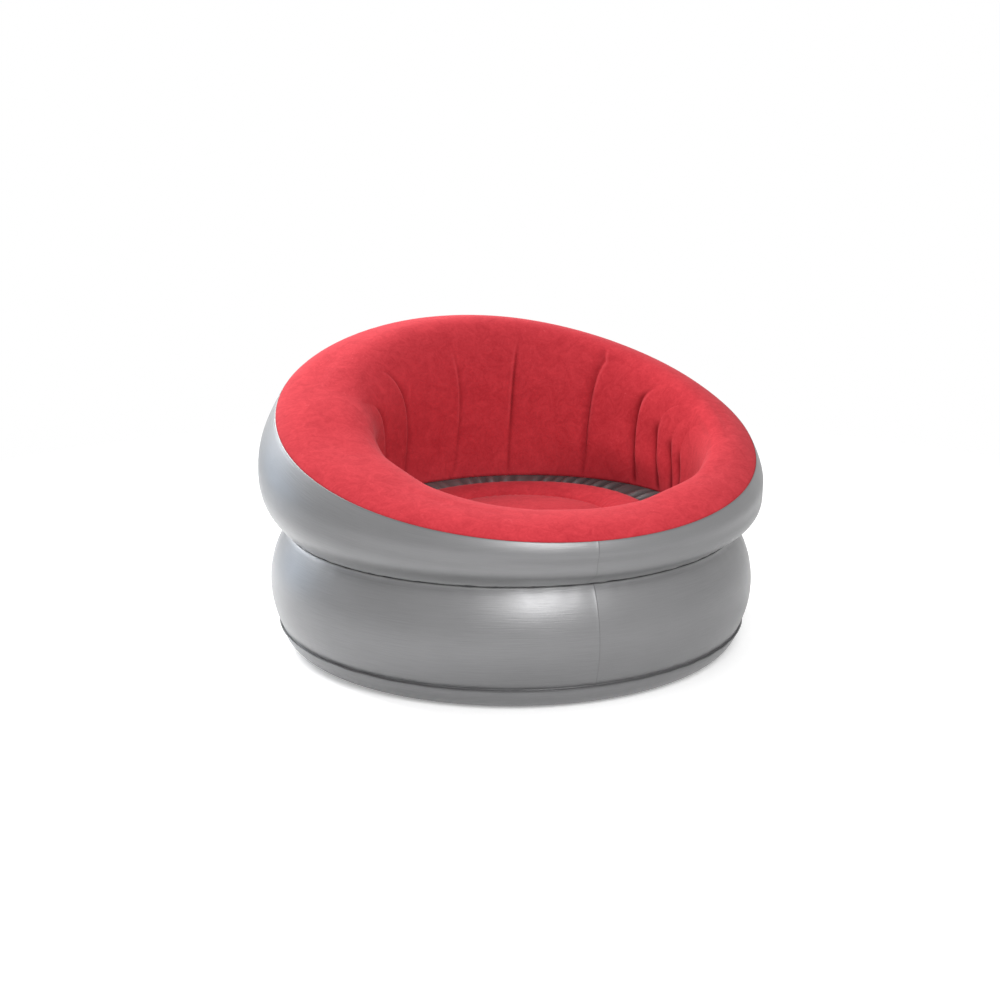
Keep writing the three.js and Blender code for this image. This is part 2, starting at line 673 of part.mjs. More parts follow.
function addRingValve(valve) {
  const collar = tube(PORT_RADIUS, RING_COLLAR_RADIUS, -RING_COLLAR_IN, RING_COLLAR_OUT);
  const plate = RING_PLATE_RADIUS;
  const faces = [ringWallFace, ringWallNormals, valve, plate, collar, PORT_RADIUS];
  const tongueLow = RING_COLLAR_OUT - STRAP_SHEET;
  const middle = (PORT_RADIUS + RING_COLLAR_RADIUS) / 2;
  const tongue = tab(STOPPER_TAB_WIDTH, middle, STOPPER_HINGE, tongueLow, RING_COLLAR_OUT);
  tongue.translate(valve.x, valve.y, valve.z);
  add('ring_valve_flange', geometryFrom(valveFlange(...faces).add(solidOf(tongue))), valvePlastic);
  add('ring_valve_stopper', stopperGeometry(RING_COLLAR_OUT + SEAM_GAP), valvePlastic, valve);
  add('ring_valve_flap', flapGeometry(-RING_COLLAR_IN), webSheet, valve);
}

const mainValve = rearOf(drumRows, 1 + DRUM_ROWS / 2);
const ringValve = rearOf(ringWallRows, RING_ROWS);
const mainHole = MAIN_COLLAR_RADIUS + SEAM_GAP;
const ringHole = RING_COLLAR_RADIUS + SEAM_GAP;

addBottomPanel();
add('lower_outer_wall', piercedWall(drumRows, drumNormals, mainValve, mainHole), greySheet);
add('deck_panel', ringSheet(deckFace, moved(deckFace, deckNormals, -WALL_SHEET)), greySheet);
addSeat();
addSeatWeb('seat_inner_web', SEAT_WELD_RADIUS, seatTop - FLOCKED_SHEET);
addSeatWeb('seat_outer_web', SEAT_HOLE_RADIUS + SEAT_LAP, SEAT_EDGE_HEIGHT - WALL_SHEET);
add(
  'upper_outer_wall',
  piercedWall(ringWallFace, ringWallNormals, ringValve, ringHole),
  greySheet,
);
add('flocked_cover', ringSheet(coverFace, coverInner), redFlock);
for (let gusset = 0; gusset < GUSSET_COUNT; gusset++) addGussetWeb(gusset);
addMainValve(mainValve);
addRingValve(ringValve);

export default chair;
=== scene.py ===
import json
import math

import bmesh
import bpy
import numpy as np
from mathutils import Matrix, Vector


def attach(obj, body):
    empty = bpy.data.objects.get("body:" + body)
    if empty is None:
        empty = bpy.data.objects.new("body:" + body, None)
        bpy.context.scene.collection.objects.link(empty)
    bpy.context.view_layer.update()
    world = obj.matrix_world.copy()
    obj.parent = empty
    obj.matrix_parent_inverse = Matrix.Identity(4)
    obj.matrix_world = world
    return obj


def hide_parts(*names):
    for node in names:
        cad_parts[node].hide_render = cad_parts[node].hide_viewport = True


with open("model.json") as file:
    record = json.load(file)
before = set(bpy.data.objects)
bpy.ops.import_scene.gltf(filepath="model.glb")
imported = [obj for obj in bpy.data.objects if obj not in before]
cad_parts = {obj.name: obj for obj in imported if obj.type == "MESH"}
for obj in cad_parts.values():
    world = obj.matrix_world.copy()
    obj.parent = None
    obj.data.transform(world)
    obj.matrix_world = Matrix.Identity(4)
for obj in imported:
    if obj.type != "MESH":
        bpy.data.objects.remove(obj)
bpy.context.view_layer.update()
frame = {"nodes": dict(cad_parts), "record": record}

TURN = 2 * math.pi

# Sheets and welds
WALL_SHEET = 0.0004
FLOCKED_SHEET = 0.0006
SEAM_GAP = 0.0003
BASE_FIN = 0.006
WAIST_FIN = 0.002
WAIST_BAND = 0.006

# Drum
FOOT_RADIUS = 0.449
BASE_SEAM_RADIUS = 0.504
BASE_SEAM_HEIGHT = 0.050
CURL_TOP_HEIGHT = BASE_SEAM_HEIGHT - SEAM_GAP / 2 - WALL_SHEET
DRUM_FOOT_HEIGHT = BASE_SEAM_HEIGHT + SEAM_GAP / 2 + WALL_SHEET
WAIST_RADIUS = 0.487
WAIST_HEIGHT = 0.256
DRUM_BULGE = 0.030

# How far the handles of a bow reach, as a share of its chord
BOW_REACH_SHARE = 0.36

# Ring: outer wall, which leans in less under the rim at the front
RING_BULGE_RADIUS = 0.545
RING_BULGE_BACK_EXTRA = 0.017
RING_BULGE_FORWARD = 0.016
RING_BULGE_HEIGHT_SHARE = 0.49
RING_LEAN_AT_WAIST = 42
RING_LEAN_AT_RIM = 124
RIM_EASE = 11
RIM_EASE_REACH_SHARE = 0.9
RIM_RADIUS = 0.513
RIM_FORWARD = 0.032
RIM_HEIGHT = 0.481
RIM_BACK_RISE = 0.132
RIM_SADDLE = 0.010

# Ring: flocked cover
COVER_LEAN_AT_RIM = 145
CREST_INSET = 0.085
CREST_FRONT_EXTRA = 0.016
CREST_LEFT_EXTRA = 0.026
CREST_RISE = 0.023
CREST_FRONT_RISE = 0.006
FLOOR_HALF_WIDTH = 0.370
FLOOR_HALF_DEPTH = 0.350
FLOOR_FORWARD = 0.068
FLOOR_HEIGHT = 0.282
BOWL_FLARE = 7
BOWL_FRONT_FLARE = 3
BOWL_FRONT_SWELL = 0.010
BOWL_LEFT_SWELL = 0.037
CREST_REACH = 0.072
CREST_REACH_SHARE = 0.4
FLOOR_REACH_SHARE = 0.51

# Creases of the bowl's wall: where each one runs, in degrees, at three shares of the way down.
# Fifteen lie at the gussets, and the squeezed sheet on the right has two more beside them.
CREASE_HEIGHT_SHARES = (0.4, 0.7, 1)
CREASE_TOP_SHARE = 0.3
CREASE_DEGREES = (
    (18, 18, 18),
    (42, 42, 42),
    (66, 66, 66),
    (87.5, 94, 90),
    (93, 99.5, 94),
    (100.5, 107.5, 102),
    (112.5, 118, 114.5),
    (132, 136, 137),
    (160, 163, 165),
    (183, 182, 186),
    (215, 206, 208),
    (237, 221, 218),
    (260, 256, 256),
    (282, 282, 282),
    (306, 306, 306),
    (330, 330, 330),
    (354, 354, 354),
)
# How deep each one is, and how far down the wall it starts
CREASE_DEPTH_SHARES = np.array([
    0.7, 0.7, 0.8, 1.1, 1.6, 1.8, 1.7, 0.8, 0.8, 0.5, 0.65, 0.6, 0.8, 0.8, 0.7, 0.7, 0.7,
])
CREASE_START_SHARES = np.array([
    0.5, 0.5, 0.5, 0.68, 0.64, 0.58, 0.4, 0.2, 0.3, 0.35, 0.28, 0.4, 0.5, 0.5, 0.5, 0.5, 0.5,
])
# How dark the painted shade of each one is, and its wide side, where the sheet dips under: above 0
# towards larger angles
CREASE_SHADE_SHARES = np.array([
    0.5, 0.5, 0.6, 0.8, 1.0, 1.0, 0.8, 0.45, 0.55, 0.3, 0.45, 0.35, 0.5, 0.5, 0.5, 0.5, 0.5,
])
CREASE_SIDE_SHARES = np.array([
    0, 0, 0.4, 0.8, 0.9, 0.9, 0.9, 0.8, 0, -0.2, -0.7, -0.8, -0.8, -0.4, 0, 0, 0,
])
CREASE_WIDTH = 0.0062
CREASE_GROWTH_SHARE = 0.45
CREASE_END_SHARE = 0.92
CREASE_FOOT_POWER = 0.5
DIP_WIDENING = 1.6
DIP_NARROWING = 0.5

# Bays between the creases: they stand into the bowl and go back to the wall's line at its foot
BAY_CROWN = 0.011
BAY_SWELL = 0.005
BAY_SWELL_WIDTH = 0.15
BAY_RISE_SHARES = (0.1, 0.6)
FOOT_ROUND_SHARE = 0.55
WEB_LIFT = 0.0018
WEB_LIFT_SHARES = (0.3, 0.6)
WEB_LIFT_END_SHARE = 0.96

# Where the sheets are squeezed on the right, and how much longer the bays stay full there
SQUEEZE_ANGLE = math.radians(118)
SQUEEZE_REACH = math.radians(32)
SQUEEZE_FOOT_SHARE = 0.27

# Seat: the lower the power of a crown, the fuller it is at its edges
SEAT_HOLE_RADIUS = 0.298
SEAT_LAP = 0.008
SEAT_FORWARD = 0.066
SEAT_EDGE_HEIGHT = 0.273
SEAT_WELD_RADIUS = 0.200
SEAT_RING_CROWN = 0.016
SEAT_RING_POWER = 0.6
SEAT_SQUEEZE_SHARE = 0.35
SEAT_CENTRE_CROWN = 0.022
SEAT_CENTRE_POWER = 0.8

# Valves at the rear: sizes along and round their own axis, from the wall outwards
MAIN_VALVE = np.array([0, 0.52502, 0.15541])
RING_VALVE = np.array([0, 0.54559, 0.43577])
RING_REAR_RADIUS = 0.545
PORT_RADIUS = 0.009
VALVE_PLATE = 0.0012
STRAP_SHEET = 0.0012
STOPPER_CAP_RADIUS = 0.012
STOPPER_CAP = 0.002
STOPPER_NECK = 0.006
STOPPER_NECK_TAPER = 0.0009
STOPPER_HINGE = 0.0183
STOPPER_TAB_WIDTH = 0.008
MAIN_PLATE_RADIUS = 0.038
MAIN_COLLAR_RADIUS = 0.023
MAIN_BORE_RADIUS = 0.019
MAIN_COLLAR_OUT = 0.005
MAIN_COLLAR_IN = 0.010
PLUG_CAP_RADIUS = 0.025
PLUG_CAP = 0.0022
PLUG_NECK = 0.0113
PLUG_NECK_TAPER = 0.0014
PLUG_HINGE = 0.0306
PLUG_TAB_WIDTH = 0.014
STRAP_RING_WALL = 0.003
RING_PLATE_RADIUS = 0.026
RING_COLLAR_RADIUS = 0.0125
RING_COLLAR_OUT = 0.004
RING_COLLAR_IN = 0.008
NECK_CLEARANCE = 0.0003
VALVE_ROUNDING = 0.0005
ROUNDING_LIMIT_SHARE = 0.45
CAP_LIP_SHARE = 0.25
CAP_DISH = 0.0006
PLATE_GROOVE = 0.0004
PLATE_GROOVE_INSET = 0.006
PLATE_GROOVE_WIDTH = 0.0012

# Small relief that the welds pull into the sheets
SEAM_TUCK = 0.0008
SEAM_TUCK_WIDTH = 0.004
RIM_TUCK_EASE_SHARE = 0.7
PUCKER_REACH = 0.020
WALL_PUCKER = 0.00025
CURL_PUCKER_SHARES = (0.3, 0.7)
FOOT_PUCKER = 0.0012
FOOT_PUCKER_START = 0.006
SEAT_PUCKER = 0.0005
SEAT_PUCKER_START = 0.004
WALL_SWELL = 0.0005
COVER_SWELL = 0.0016
COVER_SWELL_FROM_RIM = 0.1
COVER_SWELL_FROM_FOOT = 0.06
FIN_WAVE = 0.0006

# Deck: gathered all round, and most at the rear on the right
DECK_CROWN = 0.0012
DECK_GATHER = 0.0024
GATHER_ANGLE = math.radians(135)
GATHER_REACH_SHARE = 0.9
GATHER_LEAST_SHARE = 0.4

# Front laps of the two walls, where one edge lies on the other
RING_LAP_ANGLE = math.radians(-3.3)
DRUM_LAP_ANGLE = math.radians(-1.6)
LAP_STEP = 0.0004
LAP_WIDTH = 0.006
LAP_EDGE = 0.0001
LAP_FADE = 0.01

# Irregular waves: the seed, the fewest waves in a turn, and the number that they stay under
COVER_WAVES = (5, 3, 12)
BOWL_FOOT_WAVES = (6, 60, 130)
RING_FOOT_WAVES = (12, 30, 90)
RING_WAVES = (13, 3, 10)
FIN_WAVES = (21, 10, 60)
DRUM_FOOT_WAVES = (22, 60, 160)
DRUM_TOP_WAVES = (23, 30, 90)
DRUM_WAVES = (24, 3, 10)
CURL_WAVES = (31, 60, 160)
DECK_WAVES = (41, 50, 95)
SEAT_EDGE_WAVES = (51, 50, 120)
SEAT_WELD_WAVES = (52, 50, 120)

# Shades painted on the sheets: above 0 is dark, and below 0 is pale.
# The shade of a crease starts a little above it where the sheets are squeezed.
SHADE_WIDTH = 0.004
SHADE_LEAD_SHARE = 0.09
SHADE_GROWTH_SHARE = 0.16
SHADE_END_SHARE = 0.95
CORNER_SHADE = 0.55
CORNER_START_SHARE = 0.78
EDGE_LIGHT = 0.7
EDGE_PLACE = 0.0055
EDGE_WIDTH = 0.0025
EDGE_END_SHARES = (0.7, 0.82)
RIM_SHADE = 0.6
RIM_SHADE_WIDTH = 0.0022
LAP_SHADE = 0.45
LAP_SHADE_WIDTH = 0.0013
FIN_SHADE = 0.75
WAIST_LIGHT = 0.45
WAIST_LIGHT_WIDTH = 0.045
WAIST_LINE_WIDTH = 0.012
DRUM_TOP_LIGHT = 0.6
DRUM_TOP_LIGHT_WIDTH = 0.006
DECK_SHADE = 0.45
DECK_GATHER_SHADE = 0.3
DECK_CORNER_SHADE = 0.6

# Rows along each sheet, and columns in each bay, closer together next to welds and creases
BAY_STEP_SHARES = np.array([
    0, 0.008, 0.02, 0.035, 0.055, 0.08, 0.11, 0.15, 0.21, 0.29, 0.39,
    0.5, 0.61, 0.71, 0.79, 0.85, 0.89, 0.92, 0.945, 0.965, 0.98, 0.992,
])
CROWN_SHARES = (0, 0.012, 0.028, 0.05, 0.09, 0.14, 0.2, 0.28, 0.37, 0.47, 0.58, 0.69, 0.8, 0.9)
BOWL_WALL_SHARES = np.concatenate([np.linspace(0, 0.88, 45), np.linspace(0.9, 1, 9)])
RING_LOWER_SHARES = np.linspace(0, 1, 16)
RING_UPPER_SHARES = np.concatenate([np.linspace(0, 0.86, 14)[1:], [0.91, 0.95, 0.975, 0.99, 1]])
DRUM_SHARES = np.concatenate([
    [0, 0.012, 0.03, 0.055], np.linspace(0.09, 0.91, 24), [0.945, 0.97, 0.988, 1],
])
FIN_SHARES = (0.25, 0.6, 1)
FOOT_SHARES = (0.25, 0.5, 0.75, 0.92)
CURL_SHARES = np.linspace(0, 1, 14)
DECK_HIDDEN_SHARES = (0.5, 0.85)
DECK_STRIP_SHARES = np.linspace(0, 1, 15)
SEAT_LAP_SHARES = (1, 0.4, 0)
SEAT_RING_SHARES = np.concatenate([
    [0.02, 0.05, 0.1], np.linspace(0.16, 0.84, 16), [0.9, 0.94, 0.965, 0.985, 1],
])
SEAT_CENTRE_SHARES = np.concatenate([[0.985, 0.965, 0.93, 0.89], np.linspace(0.84, 0.06, 16)])
DRUM_REAR_SHARES = np.linspace(0, 1, 60)
RING_REAR_SHARES = np.linspace(0, 1, 40)

# Columns round the chair and round a valve
WALL_COLUMNS = 360
DECK_COLUMNS = 720
SEAT_COLUMNS = 480
VALVE_COLUMNS = 72
HOLE_COLUMNS = 64
LAP_COLUMN_STEPS = np.radians([0.08, 0.15, 0.3, 0.55])
LEAST_COLUMN_STEP = math.radians(0.03)

# Colours: in a pair, the darker one comes first
FLOCK_NAP = ((0.41, 0.024, 0.034, 1), (0.49, 0.034, 0.045, 1))
FLOCK_STROKES = ((0.35, 0.019, 0.028, 1), (0.56, 0.045, 0.058, 1))
FLOCK_TUFTS = ((0.29, 0.014, 0.021, 1), (0.64, 0.056, 0.070, 1))
FLOCK_SCUFF = (0.80, 0.14, 0.16, 1)
# Painted shade and painted light of the flock
FLOCK_PAINTED_SHADE = (0.14, 0.003, 0.007, 1)
FLOCK_PAINTED_LIGHT = (0.75, 0.10, 0.12, 1)
FLOCK_SHEEN = (1, 0.5, 0.54, 1)
GREY_CLOUDS = ((0.160, 0.160, 0.163, 1), (0.184, 0.184, 0.187, 1))
GREY_LINES = (0.196, 0.196, 0.2, 1)
# Painted shade and painted light of the grey sheet
GREY_PAINTED_SHADE = (0.05, 0.05, 0.052, 1)
GREY_PAINTED_LIGHT = (0.50, 0.50, 0.505, 1)
WEB_CLOUDS = ((0.50, 0.50, 0.48, 1), (0.60, 0.60, 0.57, 1))
PLASTIC_CLOUDS = ((0.075, 0.075, 0.08, 1), (0.10, 0.10, 0.105, 1))
FLOOR_COLOUR = (0.9, 0.9, 0.9, 1)
WHITE = (1, 1, 1, 1)

# How much of each layer shows
STROKES_SHARE = 0.5
TUFTS_SHARE = 0.14
SCUFFS_SHARE = 0.6
# How strong the painted shade and painted light are
PAINTED_SHADE_SHARE = 0.8
FLOCK_PAINTED_LIGHT_SHARE = 0.4
GREY_PAINTED_LIGHT_SHARE = 0.9
GRAIN_FINENESS = 20

# Camera, fitted to the photographed outline, seams and waist
CAMERA_AZIMUTH = -20.6
CAMERA_ELEVATION = 15.11
CAMERA_DISTANCE = 4.0
CAMERA_AIM_HEIGHT = 0.2997
CAMERA_AIM_SIDE = -0.0237
CAMERA_SENSOR = 36
CAMERA_FOCAL_WIDTHS = 1.83

# Floor: it fades into the white behind it
FLOOR_REACH = 6
FLOOR_ROUGHNESS = 0.9
FLOOR_FADE_START = 1.1
FLOOR_FADE_END = 2.2
FLOOR_LIFT = 0.3

# Lamps: name, azimuth, elevation, size, power and colour
LAMP_DISTANCE = 3.0
LAMP_AIM_HEIGHT = 0.3
LAMPS = (
    ("left_back", -150, 38, 2.6, 158, (1, 1, 1)),
    ("right_top", 130, 50, 2.2, 16, (1, 1, 1)),
    ("left", -136, 5, 1.6, 12, (0.60, 0.78, 1)),
    ("front", -6, 31, 1.3, 59, (1, 1, 1)),
)
WORLD_LIGHT = 0.44


# Directions, places and bows, for whole rows of angles at once
def outward(angle):
    return np.stack([np.sin(angle), -np.cos(angle), np.zeros_like(angle)], -1)


def upward(height):
    height = np.asarray(height, dtype=float)
    return np.stack([np.zeros_like(height), np.zeros_like(height), height], -1)


def place(angle, radius, forward, height):
    """Points round an upright axis that lies that far forward of the drum's."""
    point = outward(angle) * np.broadcast_to(radius, angle.shape)[:, None]
    point[:, 1] -= forward
    point[:, 2] += height
    return point


def handle(angle, lean, reach):
    """A handle of a bow: a lean of 0 points outwards, and one of 90 straight up."""
    lean = np.radians(np.broadcast_to(lean, angle.shape))
    reach = np.broadcast_to(reach, angle.shape)
    return outward(angle) * (np.cos(lean) * reach)[:, None] + upward(np.sin(lean) * reach)


def bow(start, leave, end, arrive, share):
    """The points of a curve that leaves the start and arrives at the end along its handles."""
    rest = 1 - share
    return (
        rest**3 * start
        + 3 * rest**2 * share * (start + leave)
        + 3 * rest * share**2 * (end - arrive)
        + share**3 * end
    )


def bow_reach(start, end):
    return np.linalg.norm(end - start, axis=1) * BOW_REACH_SHARE


# Shares that rise and fall with a place
def smoothstep(low, high, value):
    share = np.clip((value - low) / (high - low), 0, 1)
    return share * share * (3 - 2 * share)


def peak(distance, width):
    """1 at no distance, and next to 0 beyond twice the width."""
    return np.exp(-((distance / width) ** 2))


def angle_past(angle, start):
    """How far the angle lies past the start: at most half a turn, and below 0 before it."""
    return np.angle(np.exp(1j * (angle - start)))


def frontness(angle):
    """1 at the front and 0 at the back."""
    return (1 + np.cos(angle)) / 2


def squeezed(angle):
    """1 where the sheets are squeezed on the right, and 0 away from there."""
    return peak(angle_past(angle, SQUEEZE_ANGLE), SQUEEZE_REACH)


# Small relief
def ripple(angle, seed, low, high):
    """A closed irregular wave round the chair, about 1 high."""
    phases = np.random.default_rng(seed).uniform(0, TURN, high - low)
    waves = sum(np.cos(count * angle + phases[count - low]) for count in range(low, high))
    return waves / math.sqrt((high - low) / 2)


def puckered(angle, distance, height, waves):
    """Puckers that fade with the distance from a weld."""
    return height * ripple(angle, *waves) * np.exp(-distance / PUCKER_REACH)


def swollen(angle, run, waves):
    """A slow swell of a wall, which ends at both of its welds."""
    return WALL_SWELL * ripple(angle, *waves) * np.sin(math.pi * run / run[-1])


def tucked(distance):
    """How deep a sheet dips next to its seam."""
    return SEAM_TUCK * peak(distance, SEAM_TUCK_WIDTH)


def run_past_lap(angle, lap):
    """How far round the wall the angle lies past the edge of the lap."""
    return angle_past(angle, lap) * BASE_SEAM_RADIUS


def lap_height(angle, lap):
    """The sheet climbs up to the edge of the lap, and drops back past it."""
    past = run_past_lap(angle, lap)
    return LAP_STEP * np.where(past <= LAP_EDGE, smoothstep(-LAP_WIDTH, 0, past), 0)


def lap_shade(angle, lap):
    """Darkest along the edge of the lap."""
    past = run_past_lap(angle, lap)
    return LAP_SHADE * np.clip(1 - np.abs(past) / LAP_SHADE_WIDTH, 0, 1)


# The closed lines that the sheets run between
def rim(angle):
    height = RIM_HEIGHT - RIM_BACK_RISE * np.cos(angle) + RIM_SADDLE * np.cos(2 * angle)
    return place(angle, RIM_RADIUS, RIM_FORWARD, height)


def ring_bulge(angle):
    height = WAIST_HEIGHT + (rim(angle)[:, 2] - WAIST_HEIGHT) * RING_BULGE_HEIGHT_SHARE
    radius = RING_BULGE_RADIUS - RING_BULGE_BACK_EXTRA * np.cos(angle)
    return place(angle, radius, RING_BULGE_FORWARD, height)


def crest(angle):
    extra = CREST_FRONT_EXTRA * np.cos(angle) - CREST_LEFT_EXTRA * np.sin(angle)
    rise = CREST_RISE + CREST_FRONT_RISE * np.cos(angle)
    return place(angle, RIM_RADIUS - CREST_INSET - extra, RIM_FORWARD, rim(angle)[:, 2] + rise)


def bowl_floor(angle):
    across = FLOOR_HALF_WIDTH * np.sin(angle)
    along = -FLOOR_FORWARD - FLOOR_HALF_DEPTH * np.cos(angle)
    return np.stack([across, along, np.full_like(angle, FLOOR_HEIGHT)], -1)


# Rows of the sheets: a share of 0 is where the sheet starts
def curl_row(angle, share):
    turn = share * math.pi / 2
    radius = FOOT_RADIUS + (BASE_SEAM_RADIUS - FOOT_RADIUS) * math.sin(turn)
    return place(angle, radius, 0, CURL_TOP_HEIGHT * (1 - math.cos(turn)))


def drum_row(angle, share):
    foot = np.array([BASE_SEAM_RADIUS, DRUM_FOOT_HEIGHT])
    top = np.array([WAIST_RADIUS, WAIST_HEIGHT - WALL_SHEET - SEAM_GAP])
    chord = top - foot
    length = np.linalg.norm(chord)
    half_turn = 2 * math.atan(2 * DRUM_BULGE / length)
    radius = length / (2 * math.sin(half_turn))
    turn = half_turn * (2 * share - 1)
    along = chord / length
    across = np.array([along[1], -along[0]])
    point = (foot + top) / 2 + along * radius * math.sin(turn)
    point = point + across * radius * (math.cos(turn) - math.cos(half_turn))
    return place(angle, point[0], 0, point[1])


def ring_lower_row(angle, share):
    start = place(angle, WAIST_RADIUS, 0, WAIST_HEIGHT + SEAM_GAP)
    end = ring_bulge(angle)
    reach = bow_reach(start, end)
    leave = handle(angle, RING_LEAN_AT_WAIST, reach)
    return bow(start, leave, end, handle(angle, 90, reach), share)


def ring_upper_row(angle, share):
    start, end = ring_bulge(angle), rim(angle)
    reach = bow_reach(start, end)
    front = frontness(angle)
    arrive_reach = reach * (1 + RIM_EASE_REACH_SHARE * front)
    arrive = handle(angle, RING_LEAN_AT_RIM - RIM_EASE * front, arrive_reach)
    return bow(start, handle(angle, 90, reach), end, arrive, share)


def crown_row(angle, share):
    start, end = rim(angle), crest(angle)
    reach = bow_reach(start, end)
    leave = handle(angle, COVER_LEAN_AT_RIM, reach)
    return bow(start, leave, end, handle(angle, 180, reach), share)


def bowl_wall_row(angle, share):
    start = crest(angle)
    end = bowl_floor(angle) + upward(SEAM_GAP)
    across = CREST_REACH + np.hypot(*(end - start)[:, :2].T) * CREST_REACH_SHARE
    down = (start - end)[:, 2] * FLOOR_REACH_SHARE
    flare = BOWL_FLARE + BOWL_FRONT_FLARE * np.cos(angle)
    swell = BOWL_FRONT_SWELL * np.cos(angle) - BOWL_LEFT_SWELL * np.sin(angle)
    point = bow(start, handle(angle, 180, across), end, handle(angle, 270 - flare, down), share)
    return point - outward(angle) * (swell * math.sin(math.pi * share))[:, None]


def fin_rows(angle, height):
    """The fin at the base seam, from the seam outwards."""
    wave = FIN_WAVE * ripple(angle, *FIN_WAVES)
    return [
        place(angle, BASE_SEAM_RADIUS + BASE_FIN * share, 0, height + wave * share)
        for share in FIN_SHARES
    ]


def seat_row(angle, radius, height):
    return place(angle, radius, SEAT_FORWARD, height)


# Columns round the chair
def even_columns(count):
    return np.arange(count) * TURN / count


def wall_columns(lap):
    """Even columns with more of them next to the wall's lap."""
    extra = [lap + side * step for step in LAP_COLUMN_STEPS for side in (-1, 1)]
    angles = np.sort(np.concatenate([even_columns(WALL_COLUMNS), np.mod([lap, *extra], TURN)]))
    apart = np.diff(angles, append=angles[0] + TURN)
    return angles[apart > LEAST_COLUMN_STEP]


def crease_lines(share):
    """The angles of the creases at a share of the way down the bowl's wall."""
    low, middle, high = CREASE_HEIGHT_SHARES
    share = max(share, CREASE_TOP_SHARE)
    top, centre, foot = np.radians(CREASE_DEGREES).T
    return (
        top * (share - middle) * (share - high) / ((low - middle) * (low - high))
        + centre * (share - low) * (share - high) / ((middle - low) * (middle - high))
        + foot * (share - low) * (share - middle) / ((high - low) * (high - middle))
    )


def bay_angles(lines):
    """The angle from each crease to the next."""
    return np.diff(lines, append=lines[0] + TURN)[:, None]


def cover_columns(share):
    """The cover's columns at that height: the same steps in each bay between two creases."""
    lines = crease_lines(share)
    return (lines[:, None] + bay_angles(lines) * BAY_STEP_SHARES).ravel()


# Meshes of rows that go round. Each corner also gets its place on the flat sheet, in metres.
def ring_mesh(name, rows, look, middle_first=None, middle_last=None, painted_shading=None):
    """A sheet of the rows, closed by a fan to a middle where one is given."""
    rows = np.array(rows)
    painted_shading = np.zeros(rows.shape[:2]) if painted_shading is None else painted_shading
    shades = painted_shading.ravel().tolist()
    row_count, count = rows.shape[:2]
    points = rows.reshape(-1, 3).tolist()
    steps = np.linalg.norm(np.diff(rows, axis=0), axis=2).mean(axis=1)
    run = np.concatenate([[0], np.cumsum(steps)])
    girth = np.linalg.norm(np.roll(rows, -1, axis=1) - rows, axis=2).mean(axis=0)
    girth = np.concatenate([[0], np.cumsum(girth)])
    faces, places = [], []
    for row in range(row_count - 1):
        low, high = row * count, (row + 1) * count
        for column in range(count):
            after = (column + 1) % count
            faces.append((low + column, low + after, high + after, high + column))
            left, right = girth[column], girth[column + 1]
            places += [(left, run[row]), (right, run[row])]
            places += [(right, run[row + 1]), (left, run[row + 1])]
    for middle, row, turned in ((middle_first, 0, True), (middle_last, row_count - 1, False)):
        if middle is None:
            continue
        points.append(list(middle))
        shades.append(0)
        tip, first = len(points) - 1, row * count
        for column in range(count):
            after = (column + 1) % count
            pair = (after, column) if turned else (column, after)
            corners = (first + pair[0], first + pair[1], tip)
            faces.append(corners)
            places += [tuple(points[corner][:2]) for corner in corners]
    mesh = bpy.data.meshes.new(name)
    mesh.from_pydata(points, [], faces)
    mesh.polygons.foreach_set("use_smooth", [True] * len(faces))
    layer = mesh.uv_layers.new(name="flat")
    layer.data.foreach_set("uv", np.array(places).ravel())
    # Each point keeps its painted shade or painted light, which the materials mix into the colour
    mesh.attributes.new("painted_shading", "FLOAT", "POINT").data.foreach_set("value", shades)
    mesh.materials.append(look)
    piece = bpy.data.objects.new(name, mesh)
    bpy.context.scene.collection.objects.link(piece)
    return piece


def thickened(piece, thickness):
    solid = piece.modifiers.new("sheet", "SOLIDIFY")
    solid.thickness = thickness
    solid.offset = -1


def row_normals(rows):
    round_way = np.roll(rows, -1, axis=1) - np.roll(rows, 1, axis=1)
    along = np.gradient(rows, axis=0)
    normals = np.cross(round_way, along)
    return normals / np.linalg.norm(normals, axis=2, keepdims=True)


def run_of(rows):
    """How far each point lies along its column from the first row."""
    steps = np.linalg.norm(np.diff(rows, axis=0), axis=2)
    return np.concatenate([np.zeros((1, steps.shape[1])), np.cumsum(steps, axis=0)])


def clear_of(rows, valve, radius):
    """0 next to a valve's plate, where the wall stays smooth, and 1 away from it."""
    return smoothstep(radius, 2 * radius, np.linalg.norm(rows - valve, axis=2))


# Materials
def material(name):
    made = bpy.data.materials.new(name)
    made.use_nodes = True
    return made


def shader_of(made):
    return made.node_tree.nodes["Principled BSDF"]


